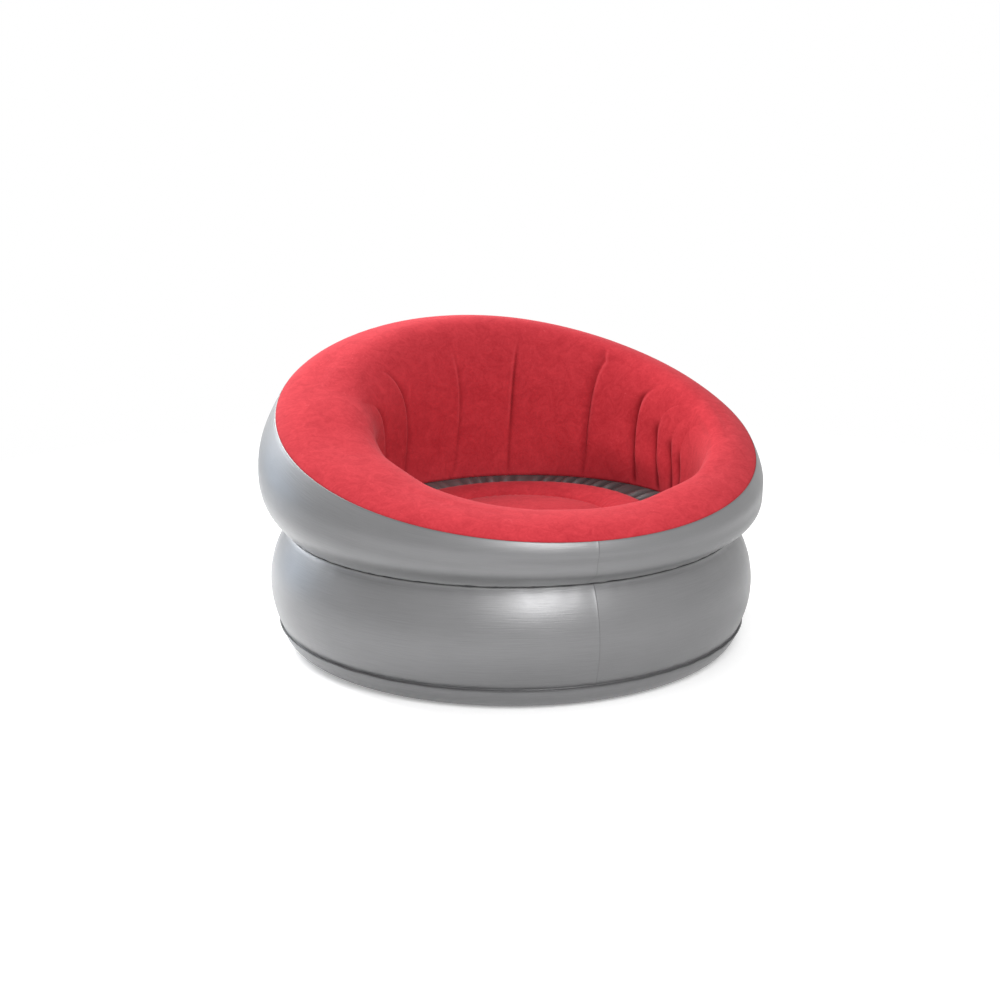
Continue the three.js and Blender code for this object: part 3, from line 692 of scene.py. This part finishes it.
class Nodes:
    """Short calls to add and join the nodes of one material or world."""

    def __init__(self, made):
        self.tree = made.node_tree

    def fill(self, node, inputs):
        """Join or set the inputs of a node."""
        for key, value in inputs.items():
            if isinstance(value, bpy.types.NodeSocket):
                self.tree.links.new(value, node.inputs[key])
            else:
                node.inputs[key].default_value = value
        return node

    def add(self, kind, inputs=None, **settings):
        node = self.tree.nodes.new(kind)
        for key, value in settings.items():
            setattr(node, key, value)
        return self.fill(node, inputs or {})

    def seen(self):
        """1 for the rays that show the white background: straight, mirrored or through a sheet."""
        path = self.add("ShaderNodeLightPath").outputs
        share = path["Is Camera Ray"]
        for name in ("Is Glossy Ray", "Is Transmission Ray"):
            share = self.add("ShaderNodeMath", {0: share, 1: path[name]}, operation="MAXIMUM").outputs[0]
        return share

    def place(self):
        return self.add("ShaderNodeTexCoord").outputs["Object"]

    def painted_shading(self):
        """The shade painted on the sheet."""
        return self.add("ShaderNodeAttribute", attribute_name="painted_shading").outputs["Fac"]

    def noise(self, place, scale, detail=3, roughness=0.5, stretch=None, distortion=0, limits=None):
        """A noise, and with limits its part between them, spread from 0 to 1."""
        if stretch:
            place = self.add("ShaderNodeMapping", {"Vector": place, "Scale": stretch}).outputs[0]
        values = {"Vector": place, "Scale": scale, "Detail": detail, "Roughness": roughness}
        noise = self.add("ShaderNodeTexNoise", {**values, "Distortion": distortion}).outputs["Fac"]
        return self.ramp(noise, *limits) if limits else noise

    def times(self, value, factor):
        """The product, kept from 0 to 1."""
        node = self.add("ShaderNodeMath", {0: value, 1: factor}, operation="MULTIPLY", use_clamp=True)
        return node.outputs[0]

    def mix(self, factor, low, high):
        """A colour from low to high. Inputs 6 and 7 are the node's two colours, and output 2 its mix."""
        return self.add("ShaderNodeMix", {0: factor, 6: low, 7: high}, data_type="RGBA").outputs[2]

    def ramp(self, factor, low, high):
        node = self.add("ShaderNodeMapRange", {"Value": factor, "From Min": low, "From Max": high})
        return node.outputs[0]

    def bump(self, height, strength, distance, **base):
        values = {"Height": height, "Strength": strength, "Distance": distance, **base}
        return self.add("ShaderNodeBump", values).outputs[0]


def red_flock():
    made = material("red_flock")
    nodes = Nodes(made)
    place, painted_shading = nodes.place(), nodes.painted_shading()
    nap = nodes.noise(place, scale=9, detail=5, roughness=0.62, limits=(0.35, 0.68))
    strokes = nodes.noise(
        place, scale=34, detail=7, roughness=0.7, distortion=1.3, limits=(0.36, 0.66)
    )
    tufts = nodes.noise(place, scale=190, roughness=0.6, limits=(0.3, 0.7))
    grain = nodes.noise(place, scale=1400, detail=2, roughness=0.6)
    colour = nodes.mix(STROKES_SHARE, nodes.mix(nap, *FLOCK_NAP), nodes.mix(strokes, *FLOCK_STROKES))
    colour = nodes.mix(TUFTS_SHARE, colour, nodes.mix(tufts, *FLOCK_TUFTS))
    scuffs = nodes.noise(
        place, scale=55, detail=8, roughness=0.78, distortion=2.6, limits=(0.60, 0.72)
    )
    patches = nodes.noise(place, scale=7, limits=(0.45, 0.6))
    scuffs = nodes.times(nodes.times(scuffs, patches), SCUFFS_SHARE)
    colour = nodes.mix(scuffs, colour, FLOCK_SCUFF)
    # Painted shade in the creases, the squeezed corner and along the rim, and painted light on the
    # creases' edges
    colour = nodes.mix(nodes.times(painted_shading, PAINTED_SHADE_SHARE), colour, FLOCK_PAINTED_SHADE)
    colour = nodes.mix(nodes.times(painted_shading, -FLOCK_PAINTED_LIGHT_SHARE), colour, FLOCK_PAINTED_LIGHT)
    soft = nodes.bump(strokes, strength=0.3, distance=0.0006)
    nodes.fill(shader_of(made), {
        "Base Color": colour,
        "Roughness": 0.95,
        "Specular IOR Level": 0.1,
        "Sheen Weight": 0.11,
        "Sheen Roughness": 0.4,
        "Sheen Tint": FLOCK_SHEEN,
        "Normal": nodes.bump(grain, strength=0.5, distance=0.0002, Normal=soft),
    })
    return made


def grey_sheet():
    made = material("grey_sheet")
    nodes = Nodes(made)
    place, painted_shading = nodes.place(), nodes.painted_shading()
    flat = nodes.add("ShaderNodeTexCoord").outputs["UV"]
    cloud = nodes.noise(place, scale=5, detail=4, roughness=0.55, limits=(0.3, 0.7))
    lines = nodes.noise(flat, scale=1, stretch=(14, 420, 1))
    colour = nodes.mix(cloud, *GREY_CLOUDS)
    colour = nodes.mix(nodes.ramp(lines, low=0.2, high=0.8), colour, GREY_LINES)
    # Darker along the laps, painted shade along the rim, fin and deck, and painted light at the waist
    # and the drum's top
    colour = nodes.mix(nodes.times(painted_shading, PAINTED_SHADE_SHARE), colour, GREY_PAINTED_SHADE)
    colour = nodes.mix(nodes.times(painted_shading, -GREY_PAINTED_LIGHT_SHARE), colour, GREY_PAINTED_LIGHT)
    gloss = {"Value": nodes.noise(place, scale=30), "To Min": 0.37, "To Max": 0.43}
    embossed = nodes.bump(lines, strength=0.65, distance=0.0005)
    grain = nodes.noise(place, scale=900, detail=2)
    nodes.fill(shader_of(made), {
        "Base Color": colour,
        "Metallic": 0.45,
        "Roughness": nodes.add("ShaderNodeMapRange", gloss).outputs[0],
        "Normal": nodes.bump(grain, strength=0.2, distance=0.00008, Normal=embossed),
    })
    return made


def plain(name, colours, roughness, scale):
    made = material(name)
    nodes = Nodes(made)
    place = nodes.place()
    cloud = nodes.noise(place, scale, detail=4, roughness=0.6)
    grain = nodes.noise(place, scale * GRAIN_FINENESS, detail=2)
    nodes.fill(shader_of(made), {
        "Base Color": nodes.mix(cloud, *colours),
        "Roughness": roughness,
        "Normal": nodes.bump(grain, strength=0.2, distance=0.0001),
    })
    return made


# Pieces: each stands for the panel of the same place in the frame
def stands_for(piece, node, body="chair"):
    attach(piece, body)
    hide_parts(node)


def bay_runs(share):
    """How far each column lies past its crease, how far it is to the next, and the bay's width."""
    widths = bay_angles(crease_lines(share)) * FLOOR_HALF_WIDTH
    return BAY_STEP_SHARES * widths, (1 - BAY_STEP_SHARES) * widths, widths


def both_sides(values):
    """The creases' values in each bay: of the crease before it, and of the one after it."""
    return values[:, None], np.roll(values, -1)[:, None]


def crease_widths(width):
    """How wide, in each bay, the crease before it is, and the crease after it."""
    wide, narrow = np.maximum(CREASE_SIDE_SHARES, 0), np.maximum(-CREASE_SIDE_SHARES, 0)
    near = width * (1 + DIP_WIDENING * wide - DIP_NARROWING * narrow)
    far = width * (1 + DIP_WIDENING * narrow - DIP_NARROWING * wide)
    return near[:, None], np.roll(far, -1)[:, None]


def crease_depths(share):
    """How far the wall stands into the bowl in each column, at a share of the way down."""
    past, ahead, widths = bay_runs(share)
    full = CREASE_START_SHARES + (1 - CREASE_START_SHARES) * CREASE_GROWTH_SHARE
    depths = CREASE_DEPTH_SHARES * smoothstep(CREASE_START_SHARES, full, share)
    before, after = both_sides(depths)
    near, far = crease_widths(CREASE_WIDTH)
    notch = before * np.exp(-past / near) + after * np.exp(-ahead / far)
    notch = notch * (1 - smoothstep(CREASE_END_SHARE, 1, share))
    squeeze = squeezed(cover_columns(share)).reshape(notch.shape)
    foot = 1 - smoothstep(FOOT_ROUND_SHARE + SQUEEZE_FOOT_SHARE * squeeze, 1, share)
    rise = smoothstep(*BAY_RISE_SHARES, share)
    steps = BAY_STEP_SHARES
    swell = BAY_SWELL * 4 * steps * (1 - steps) * np.minimum(widths / BAY_SWELL_WIDTH, 1)
    depth = BAY_CROWN * (rise * foot - notch * foot**CREASE_FOOT_POWER) + swell * rise * foot
    lift = WEB_LIFT * smoothstep(*WEB_LIFT_SHARES, share)
    lift = lift * (1 - smoothstep(WEB_LIFT_END_SHARE, 1, share))
    return (np.maximum(depth, 0) + lift).ravel()


def crease_shades(share):
    """Above 0 down in a crease: painted shade, where the flock lies in shade. Below 0 on its edge:
    painted light.
    """
    past, ahead, _ = bay_runs(share)
    starts = CREASE_START_SHARES - SHADE_LEAD_SHARE * squeezed(crease_lines(share))
    fade = smoothstep(starts, starts + SHADE_GROWTH_SHARE, share)
    fade = fade * (1 - smoothstep(SHADE_END_SHARE, 1, share))
    before, after = both_sides(CREASE_SHADE_SHARES * fade)
    near, far = crease_widths(SHADE_WIDTH)
    dark = before * peak(past, near) + after * peak(ahead, far)
    corner = CORNER_SHADE * squeezed(cover_columns(share)).reshape(dark.shape)
    dark = dark + corner * smoothstep(CORNER_START_SHARE, 1, share)
    light = EDGE_LIGHT * fade * (1 - smoothstep(*EDGE_END_SHARES, share))
    before, _ = both_sides(light * (CREASE_SIDE_SHARES <= 0))
    _, after = both_sides(light * (CREASE_SIDE_SHARES > 0))
    edge = before * peak(past - EDGE_PLACE, EDGE_WIDTH) + after * peak(ahead - EDGE_PLACE, EDGE_WIDTH)
    return (dark - edge).ravel()


def make_cover(red):
    first = len(CROWN_SHARES)
    angles = [cover_columns(0)] * first + [cover_columns(share) for share in BOWL_WALL_SHARES]
    flat = [np.zeros(angles[0].shape)] * first
    depths = np.array(flat + [crease_depths(share) for share in BOWL_WALL_SHARES])
    # Painted shade in the creases and painted light on their edges
    painted_shading = np.array(flat + [crease_shades(share) for share in BOWL_WALL_SHARES])
    rows = [crown_row(angle, share) for angle, share in zip(angles, CROWN_SHARES)]
    for angle, share, depth in zip(angles[first:], BOWL_WALL_SHARES, depths[first:]):
        rows.append(bowl_wall_row(angle, share) - outward(angle) * depth[:, None])
    rows, angles = np.array(rows), np.array(angles)
    run = run_of(rows)
    left = run[-1] - run
    relief = COVER_SWELL * ripple(angles, *COVER_WAVES) * smoothstep(0, COVER_SWELL_FROM_RIM, run)
    relief = relief * smoothstep(0, COVER_SWELL_FROM_FOOT, left) - tucked(run)
    pucker = puckered(angles, left, FOOT_PUCKER, BOWL_FOOT_WAVES)
    relief += pucker * smoothstep(0, FOOT_PUCKER_START, left)
    # The wall stays in front of the gussets' edges
    relief[first:] = np.maximum(relief, np.minimum(WEB_LIFT - depths, 0))[first:]
    rows += row_normals(rows) * relief[:, :, None]
    # Painted shade along the rim seam
    painted_shading += RIM_SHADE * peak(run, RIM_SHADE_WIDTH)
    piece = ring_mesh("cover_skin", rows, red, painted_shading=painted_shading)
    thickened(piece, FLOCKED_SHEET)
    stands_for(piece, "flocked_cover")


def make_ring_wall(grey):
    angle = wall_columns(RING_LAP_ANGLE)
    rows = [ring_lower_row(angle, share) for share in RING_LOWER_SHARES]
    rows += [ring_upper_row(angle, share) for share in RING_UPPER_SHARES]
    rows = np.array(rows)
    run = run_of(rows)
    back = run[-1] - run
    relief = -tucked(back) * (1 - RIM_TUCK_EASE_SHARE * frontness(angle))
    relief += lap_height(angle, RING_LAP_ANGLE) * smoothstep(0, LAP_FADE, run)
    relief += puckered(angle, run, WALL_PUCKER, RING_FOOT_WAVES)
    relief += swollen(angle, run, RING_WAVES)
    relief *= clear_of(rows, RING_VALVE, RING_PLATE_RADIUS)
    rows += row_normals(rows) * relief[:, :, None]
    # Darker at the lap's edge, painted shade along the rim, and painted light on the ring's lower part
    # next to the waist
    painted_shading = lap_shade(angle, RING_LAP_ANGLE) + RIM_SHADE * peak(back, RIM_SHADE_WIDTH)
    painted_shading -= WAIST_LIGHT * peak(run, WAIST_LIGHT_WIDTH)
    painted_shading -= (1 - WAIST_LIGHT) * peak(run, WAIST_LINE_WIDTH)
    piece = ring_mesh("ring_wall_skin", rows, grey, painted_shading=painted_shading)
    thickened(piece, WALL_SHEET)
    pierced(piece, RING_VALVE, RING_COLLAR_RADIUS - SEAM_GAP)
    stands_for(piece, "upper_outer_wall")


def make_drum_wall(grey, angle):
    fin = fin_rows(angle, DRUM_FOOT_HEIGHT)[::-1]
    wall = np.array([drum_row(angle, share) for share in DRUM_SHARES])
    run = run_of(wall)
    back = run[-1] - run
    relief = lap_height(angle, DRUM_LAP_ANGLE) * smoothstep(0, LAP_FADE, run)
    relief *= smoothstep(0, LAP_FADE, back)
    relief += puckered(angle, run, WALL_PUCKER, DRUM_FOOT_WAVES)
    relief += puckered(angle, back, WALL_PUCKER, DRUM_TOP_WAVES)
    relief += swollen(angle, run, DRUM_WAVES)
    relief[0] = 0
    relief *= clear_of(wall, MAIN_VALVE, MAIN_PLATE_RADIUS)
    wall += row_normals(wall) * relief[:, :, None]
    rows = np.concatenate([fin, wall])
    # Darker at the lap's edge, painted shade on the fin, and painted light along the drum's top
    painted_shading = np.tile(lap_shade(angle, DRUM_LAP_ANGLE), (len(rows), 1))
    painted_shading[: len(fin) + 1] = FIN_SHADE
    painted_shading[len(fin) :] -= DRUM_TOP_LIGHT * peak(back, DRUM_TOP_LIGHT_WIDTH)
    piece = ring_mesh("drum_wall_skin", rows, grey, painted_shading=painted_shading)
    thickened(piece, WALL_SHEET)
    pierced(piece, MAIN_VALVE, MAIN_COLLAR_RADIUS - SEAM_GAP)
    stands_for(piece, "lower_outer_wall")


def make_bottom(grey, angle):
    rows = [place(angle, FOOT_RADIUS * share, 0, 0) for share in FOOT_SHARES]
    curl = np.array([curl_row(angle, share) for share in CURL_SHARES])
    run = run_of(curl)
    relief = puckered(angle, run[-1] - run, WALL_PUCKER, CURL_WAVES)
    relief *= smoothstep(*CURL_PUCKER_SHARES, run / run[-1])
    relief[-1] = 0
    curl += row_normals(curl) * relief[:, :, None]
    rows += [*curl, *fin_rows(angle, CURL_TOP_HEIGHT)]
    # Painted shade on the fin
    painted_shading = np.zeros((len(rows), len(angle)))
    painted_shading[-len(FIN_SHARES) - 1 :] = FIN_SHADE
    piece = ring_mesh("bottom_skin", rows, grey, middle_first=(0, 0, 0), painted_shading=painted_shading)
    thickened(piece, WALL_SHEET)
    stands_for(piece, "bottom_panel")


def make_deck(grey):
    angle = even_columns(DECK_COLUMNS)
    level = place(angle, WAIST_RADIUS - WAIST_BAND, 0, WAIST_HEIGHT)
    floor = bowl_floor(angle)
    lap = seat_row(angle, SEAT_HOLE_RADIUS + SEAT_LAP, SEAT_EDGE_HEIGHT)
    rows = [place(angle, WAIST_RADIUS + WAIST_FIN, 0, WAIST_HEIGHT), level]
    rows += [level + (floor - level) * share for share in DECK_HIDDEN_SHARES]
    most = smoothstep(0, GATHER_REACH_SHARE, np.cos(angle - GATHER_ANGLE))
    gather = ripple(angle, *DECK_WAVES) * (GATHER_LEAST_SHARE + (1 - GATHER_LEAST_SHARE) * most)
    for share in DECK_STRIP_SHARES:
        swell = math.sin(math.pi * share)
        rise = upward(DECK_GATHER * gather * swell + DECK_CROWN * swell)
        rows.append(floor + (lap - floor) * share + rise)
    rows.append(seat_row(angle, SEAT_HOLE_RADIUS, SEAT_EDGE_HEIGHT))
    # Painted shade over the strip: darker in the gathers' hollows, lighter on their tops, and darker
    # still in the squeezed corner
    shade = DECK_SHADE - DECK_GATHER_SHADE * np.clip(gather, -1, 1) + DECK_CORNER_SHADE * squeezed(angle)
    piece = ring_mesh("deck_skin", rows, grey, painted_shading=np.tile(shade, (len(rows), 1)))
    thickened(piece, WALL_SHEET)
    stands_for(piece, "deck_panel")


def make_seat(red):
    angle = even_columns(SEAT_COLUMNS)
    top = SEAT_EDGE_HEIGHT + SEAM_GAP + FLOCKED_SHEET
    zone = SEAT_HOLE_RADIUS - SEAT_WELD_RADIUS

    def lifted(radius, lift, distance, waves):
        """A row of a crown, with puckers by the distance from the nearest weld."""
        pucker = puckered(angle, distance, SEAT_PUCKER, waves)
        pucker *= smoothstep(0, SEAT_PUCKER_START, distance)
        return seat_row(angle, radius, top + lift + pucker)

    rows = [seat_row(angle, SEAT_HOLE_RADIUS + SEAT_LAP * share, top) for share in SEAT_LAP_SHARES]
    for share in SEAT_RING_SHARES:
        lift = SEAT_RING_CROWN * math.sin(math.pi * share) ** SEAT_RING_POWER
        lift = lift * (1 + SEAT_SQUEEZE_SHARE * squeezed(angle) * (1 - share))
        waves = SEAT_EDGE_WAVES if share < 0.5 else SEAT_WELD_WAVES
        rows.append(lifted(SEAT_HOLE_RADIUS - zone * share, lift, min(share, 1 - share) * zone, waves))
    for share in SEAT_CENTRE_SHARES:
        lift = SEAT_CENTRE_CROWN * (1 - share**2) ** SEAT_CENTRE_POWER
        distance = (1 - share) * SEAT_WELD_RADIUS
        rows.append(lifted(SEAT_WELD_RADIUS * share, lift, distance, SEAT_WELD_WAVES))
    piece = ring_mesh("seat_skin", rows, red, middle_last=(0, -SEAT_FORWARD, top + SEAT_CENTRE_CROWN))
    thickened(piece, FLOCKED_SHEET)
    stands_for(piece, "seat_panel")


# Valves
def rounded(profile):
    """The profile with its corners rounded."""
    points = [np.array(profile[0], dtype=float)]
    for before, corner, after in zip(profile, profile[1:], profile[2:]):
        before, corner, after = (np.array(point, dtype=float) for point in (before, corner, after))
        ends = []
        for other in (before, after):
            length = np.linalg.norm(other - corner)
            ends.append(corner + (other - corner) * min(VALVE_ROUNDING / length, ROUNDING_LIMIT_SHARE))
        points += [ends[0], ends[0] / 4 + corner / 2 + ends[1] / 4, ends[1]]
    points.append(np.array(profile[-1], dtype=float))
    return points


def valve_row(centre, radius, height, rear=None):
    """A circle round a valve's axis. With rear it follows the wall."""
    angle = even_columns(VALVE_COLUMNS)
    across, up = radius * np.sin(angle), radius * np.cos(angle)
    out = np.full_like(angle, centre[1]) if rear is None else rear(across, centre[2] + up)
    return np.stack([centre[0] + across, out + height, centre[2] + up], -1)


def drum_rear(across, height):
    """How far back the drum's wall lies behind a valve."""
    table = np.array([drum_row(np.array([math.pi]), share)[0] for share in DRUM_REAR_SHARES])
    radius = np.interp(height, table[:, 2], table[:, 1])
    return np.sqrt(radius**2 - across**2)


def ring_rear(across, height):
    """How far back the ring's wall lies behind a valve."""
    rear = np.array([math.pi])
    table = [ring_lower_row(rear, share)[0] for share in RING_REAR_SHARES]
    table += [ring_upper_row(rear, share)[0] for share in RING_REAR_SHARES[1:]]
    table = np.array(table)
    return np.interp(height, table[:, 2], table[:, 1]) - across**2 / (2 * RING_REAR_RADIUS)


def add_tab(piece, centre, width, start, end, low, high, side):
    """A strap of the piece, from its body up, or down for a side of -1, to the bend."""
    tab = bmesh.new()
    bmesh.ops.create_cube(tab, size=1)
    middle = Vector((0, (low + high) / 2, side * (start + end) / 2)) + Vector(centre)
    size = Vector((width, high - low, end - start))
    shape = Matrix.Translation(middle) @ Matrix.Diagonal((*size, 1))
    bmesh.ops.transform(tab, matrix=shape, verts=tab.verts)
    bmesh.ops.bevel(tab, geom=tab.edges, offset=VALVE_ROUNDING / 2, segments=2, affect="EDGES")
    tab.from_mesh(piece.data)
    tab.to_mesh(piece.data)
    tab.free()


def make_flange(name, centre, collar, plate, plastic):
    bore, outer, low, high, plate_radius, rear = *collar, *plate
    top = SEAM_GAP + VALVE_PLATE
    groove = plate_radius - PLATE_GROOVE_INSET
    turned = rounded([(bore, low), (bore, high), (outer, high), (outer, top)])
    rows = [valve_row(centre, radius, height) for radius, height in turned[:-1]]
    plate_profile = rounded([
        (outer, top),
        (groove - PLATE_GROOVE_WIDTH, top),
        (groove, top - PLATE_GROOVE),
        (groove + PLATE_GROOVE_WIDTH, top),
        (plate_radius, top),
        (plate_radius, SEAM_GAP / 2),
    ])
    rows += [valve_row(centre, radius, height, rear) for radius, height in plate_profile]
    return ring_mesh(name, rows, plastic)


def cap_profile(neck_inner, neck, taper, low, seat, radius, high):
    """A cap on a tapering neck, with a shallow dish in its top."""
    lip = (radius - neck_inner) * CAP_LIP_SHARE
    return [
        (neck_inner, low),
        (neck - taper, low),
        (neck, seat),
        (radius, seat),
        (radius, high),
        (radius - lip, high),
        (radius - lip - CAP_DISH, high - CAP_DISH),
        (neck_inner + lip + CAP_DISH, high - CAP_DISH),
        (neck_inner + lip, high),
        (neck_inner, high),
    ]


def turned_piece(name, centre, profile, plastic, closed=True):
    points = rounded(profile + profile[:1] if closed else profile)
    return ring_mesh(name, [valve_row(centre, radius, height) for radius, height in points], plastic)


def make_stopper(name, centre, seat, side, body, plastic):
    neck = PORT_RADIUS - NECK_CLEARANCE
    low, high = seat - STOPPER_NECK, seat + STOPPER_CAP
    profile = cap_profile(0, neck, STOPPER_NECK_TAPER, low, seat, STOPPER_CAP_RADIUS, high)
    piece = turned_piece(f"{name}_skin", centre, profile, plastic, closed=False)
    add_tab(piece, centre, STOPPER_TAB_WIDTH, PORT_RADIUS, STOPPER_HINGE, seat, seat + STRAP_SHEET, side)
    stands_for(piece, name, body)


def make_valves(plastic):
    collar = (MAIN_BORE_RADIUS, MAIN_COLLAR_RADIUS, -MAIN_COLLAR_IN, MAIN_COLLAR_OUT)
    piece = make_flange("main_flange_skin", MAIN_VALVE, collar, (MAIN_PLATE_RADIUS, drum_rear), plastic)
    stands_for(piece, "main_valve_flange")

    low, high = MAIN_COLLAR_OUT - STRAP_SHEET, MAIN_COLLAR_OUT
    inner = MAIN_COLLAR_RADIUS + SEAM_GAP
    outer = inner + STRAP_RING_WALL
    profile = [(inner, low), (outer, low), (outer, high), (inner, high)]
    piece = turned_piece("main_strap_skin", MAIN_VALVE, profile, plastic)
    add_tab(piece, MAIN_VALVE, PLUG_TAB_WIDTH, (inner + outer) / 2, PLUG_HINGE, low, high, 1)
    stands_for(piece, "main_valve_strap")

    seat = MAIN_COLLAR_OUT + SEAM_GAP
    neck = MAIN_BORE_RADIUS - NECK_CLEARANCE
    low, cap = seat - PLUG_NECK, seat + PLUG_CAP
    profile = cap_profile(PORT_RADIUS, neck, PLUG_NECK_TAPER, low, seat, PLUG_CAP_RADIUS, cap)
    piece = turned_piece("main_plug_skin", MAIN_VALVE, profile, plastic)
    add_tab(piece, MAIN_VALVE, PLUG_TAB_WIDTH, neck, PLUG_HINGE, seat, seat + STRAP_SHEET, 1)
    stands_for(piece, "main_valve_plug", "main_plug")
    make_stopper("main_valve_stopper", MAIN_VALVE, cap + SEAM_GAP, -1, "main_stopper", plastic)

    collar = (PORT_RADIUS, RING_COLLAR_RADIUS, -RING_COLLAR_IN, RING_COLLAR_OUT)
    piece = make_flange("ring_flange_skin", RING_VALVE, collar, (RING_PLATE_RADIUS, ring_rear), plastic)
    low, high = RING_COLLAR_OUT - STRAP_SHEET, RING_COLLAR_OUT
    middle = (PORT_RADIUS + RING_COLLAR_RADIUS) / 2
    add_tab(piece, RING_VALVE, STOPPER_TAB_WIDTH, middle, STOPPER_HINGE, low, high, 1)
    stands_for(piece, "ring_valve_flange")
    seat = RING_COLLAR_OUT + SEAM_GAP
    make_stopper("ring_valve_stopper", RING_VALVE, seat, 1, "ring_stopper", plastic)


def pierced(piece, centre, radius):
    """Cut a round hole for the valve's collar into the sheet."""
    cutter_mesh = bpy.data.meshes.new("cutter")
    shape = bmesh.new()
    bmesh.ops.create_cone(
        shape,
        cap_ends=True,
        segments=HOLE_COLUMNS,
        radius1=radius,
        radius2=radius,
        depth=RING_PLATE_RADIUS,
    )
    turn = Matrix.Translation(Vector(centre)) @ Matrix.Rotation(math.pi / 2, 4, "X")
    bmesh.ops.transform(shape, matrix=turn, verts=shape.verts)
    shape.to_mesh(cutter_mesh)
    shape.free()
    cutter = bpy.data.objects.new("cutter", cutter_mesh)
    bpy.context.scene.collection.objects.link(cutter)
    cut = piece.modifiers.new("hole", "BOOLEAN")
    cut.object = cutter
    cut.solver = "EXACT"
    ready = piece.evaluated_get(bpy.context.evaluated_depsgraph_get())
    made = bpy.data.meshes.new_from_object(ready)
    piece.modifiers.clear()
    piece.data = made
    bpy.data.objects.remove(cutter)


def paint_frame(made):
    """Give the frame's own nodes the materials of their slots."""
    slots = {entry["node"]: entry["material_slot"] for entry in frame["record"]["subparts"]}
    for name, node in frame["nodes"].items():
        for part in node.material_slots:
            part.material = made[slots[name]]


# Stage, light and camera
def direction(azimuth, elevation):
    """The way from the chair to a lamp or the camera."""
    azimuth, elevation = math.radians(azimuth), math.radians(elevation)
    return Vector((
        math.sin(azimuth) * math.cos(elevation),
        -math.cos(azimuth) * math.cos(elevation),
        math.sin(elevation),
    ))


def make_stage():
    mesh = bpy.data.meshes.new("floor")
    sides = ((-1, -1), (1, -1), (1, 1), (-1, 1))
    mesh.from_pydata([(x * FLOOR_REACH, y * FLOOR_REACH, 0) for x, y in sides], [], [(0, 1, 2, 3)])
    floor = bpy.data.objects.new("floor", mesh)
    bpy.context.scene.collection.objects.link(floor)
    made = material("floor")
    nodes = Nodes(made)
    shader = nodes.fill(shader_of(made), {
        "Base Color": FLOOR_COLOUR,
        "Roughness": FLOOR_ROUGHNESS,
        "Emission Color": WHITE,
        "Emission Strength": nodes.times(nodes.seen(), FLOOR_LIFT),
    })
    length = nodes.add("ShaderNodeVectorMath", {0: nodes.place()}, operation="LENGTH")
    away = nodes.ramp(length.outputs["Value"], FLOOR_FADE_START, FLOOR_FADE_END)
    clear = nodes.add("ShaderNodeBsdfTransparent").outputs[0]
    faded = nodes.add("ShaderNodeMixShader", {0: away, 1: shader.outputs[0], 2: clear})
    nodes.fill(made.node_tree.nodes["Material Output"], {"Surface": faded.outputs[0]})
    mesh.materials.append(made)


def make_world():
    world = bpy.data.worlds.new("studio")
    world.use_nodes = True
    bpy.context.scene.world = world
    nodes = Nodes(world)
    light = nodes.fill(nodes.tree.nodes["Background"], {"Color": WHITE, "Strength": WORLD_LIGHT})
    white = nodes.add("ShaderNodeBackground", {"Color": WHITE, "Strength": 1}).outputs[0]
    mix = nodes.add("ShaderNodeMixShader", {0: nodes.seen(), 1: light.outputs[0], 2: white})
    nodes.fill(nodes.tree.nodes["World Output"], {"Surface": mix.outputs[0]})


def make_lamp(name, azimuth, elevation, size, power, colour):
    away = direction(azimuth, elevation)
    light = bpy.data.lights.new(name, "AREA")
    light.shape = "DISK"
    light.size = size
    light.energy = power
    light.color = colour
    lamp = bpy.data.objects.new(name, light)
    lamp.location = away * LAMP_DISTANCE + Vector((0, 0, LAMP_AIM_HEIGHT))
    lamp.rotation_euler = away.to_track_quat("Z", "Y").to_euler()
    bpy.context.scene.collection.objects.link(lamp)


def make_camera():
    azimuth = math.radians(CAMERA_AZIMUTH)
    back = direction(CAMERA_AZIMUTH, CAMERA_ELEVATION)
    right = Vector((math.cos(azimuth), math.sin(azimuth), 0))
    up = back.cross(right)
    aim = Vector((0, 0, CAMERA_AIM_HEIGHT)) + right * CAMERA_AIM_SIDE
    data = bpy.data.cameras.new("camera")
    data.sensor_width = CAMERA_SENSOR
    data.sensor_fit = "HORIZONTAL"
    data.lens = CAMERA_SENSOR * CAMERA_FOCAL_WIDTHS
    camera = bpy.data.objects.new("camera", data)
    turn = Matrix((right, up, back)).transposed().to_4x4()
    camera.matrix_world = Matrix.Translation(aim + back * CAMERA_DISTANCE) @ turn
    bpy.context.scene.collection.objects.link(camera)
    bpy.context.scene.camera = camera


def main():
    make_camera()
    red, grey = red_flock(), grey_sheet()
    web = plain("web_sheet", WEB_CLOUDS, roughness=0.5, scale=20)
    valve = plain("valve_plastic", PLASTIC_CLOUDS, roughness=0.35, scale=60)
    paint_frame({"red_flock": red, "grey_sheet": grey, "web_sheet": web, "valve_plastic": valve})
    make_cover(red)
    make_ring_wall(grey)
    drum_angles = wall_columns(DRUM_LAP_ANGLE)
    make_drum_wall(grey, drum_angles)
    make_bottom(grey, drum_angles)
    make_deck(grey)
    make_seat(red)
    make_valves(valve)
    make_stage()
    make_world()
    for lamp in LAMPS:
        make_lamp(*lamp)
    bpy.context.scene.view_settings.view_transform = "Standard"


main()
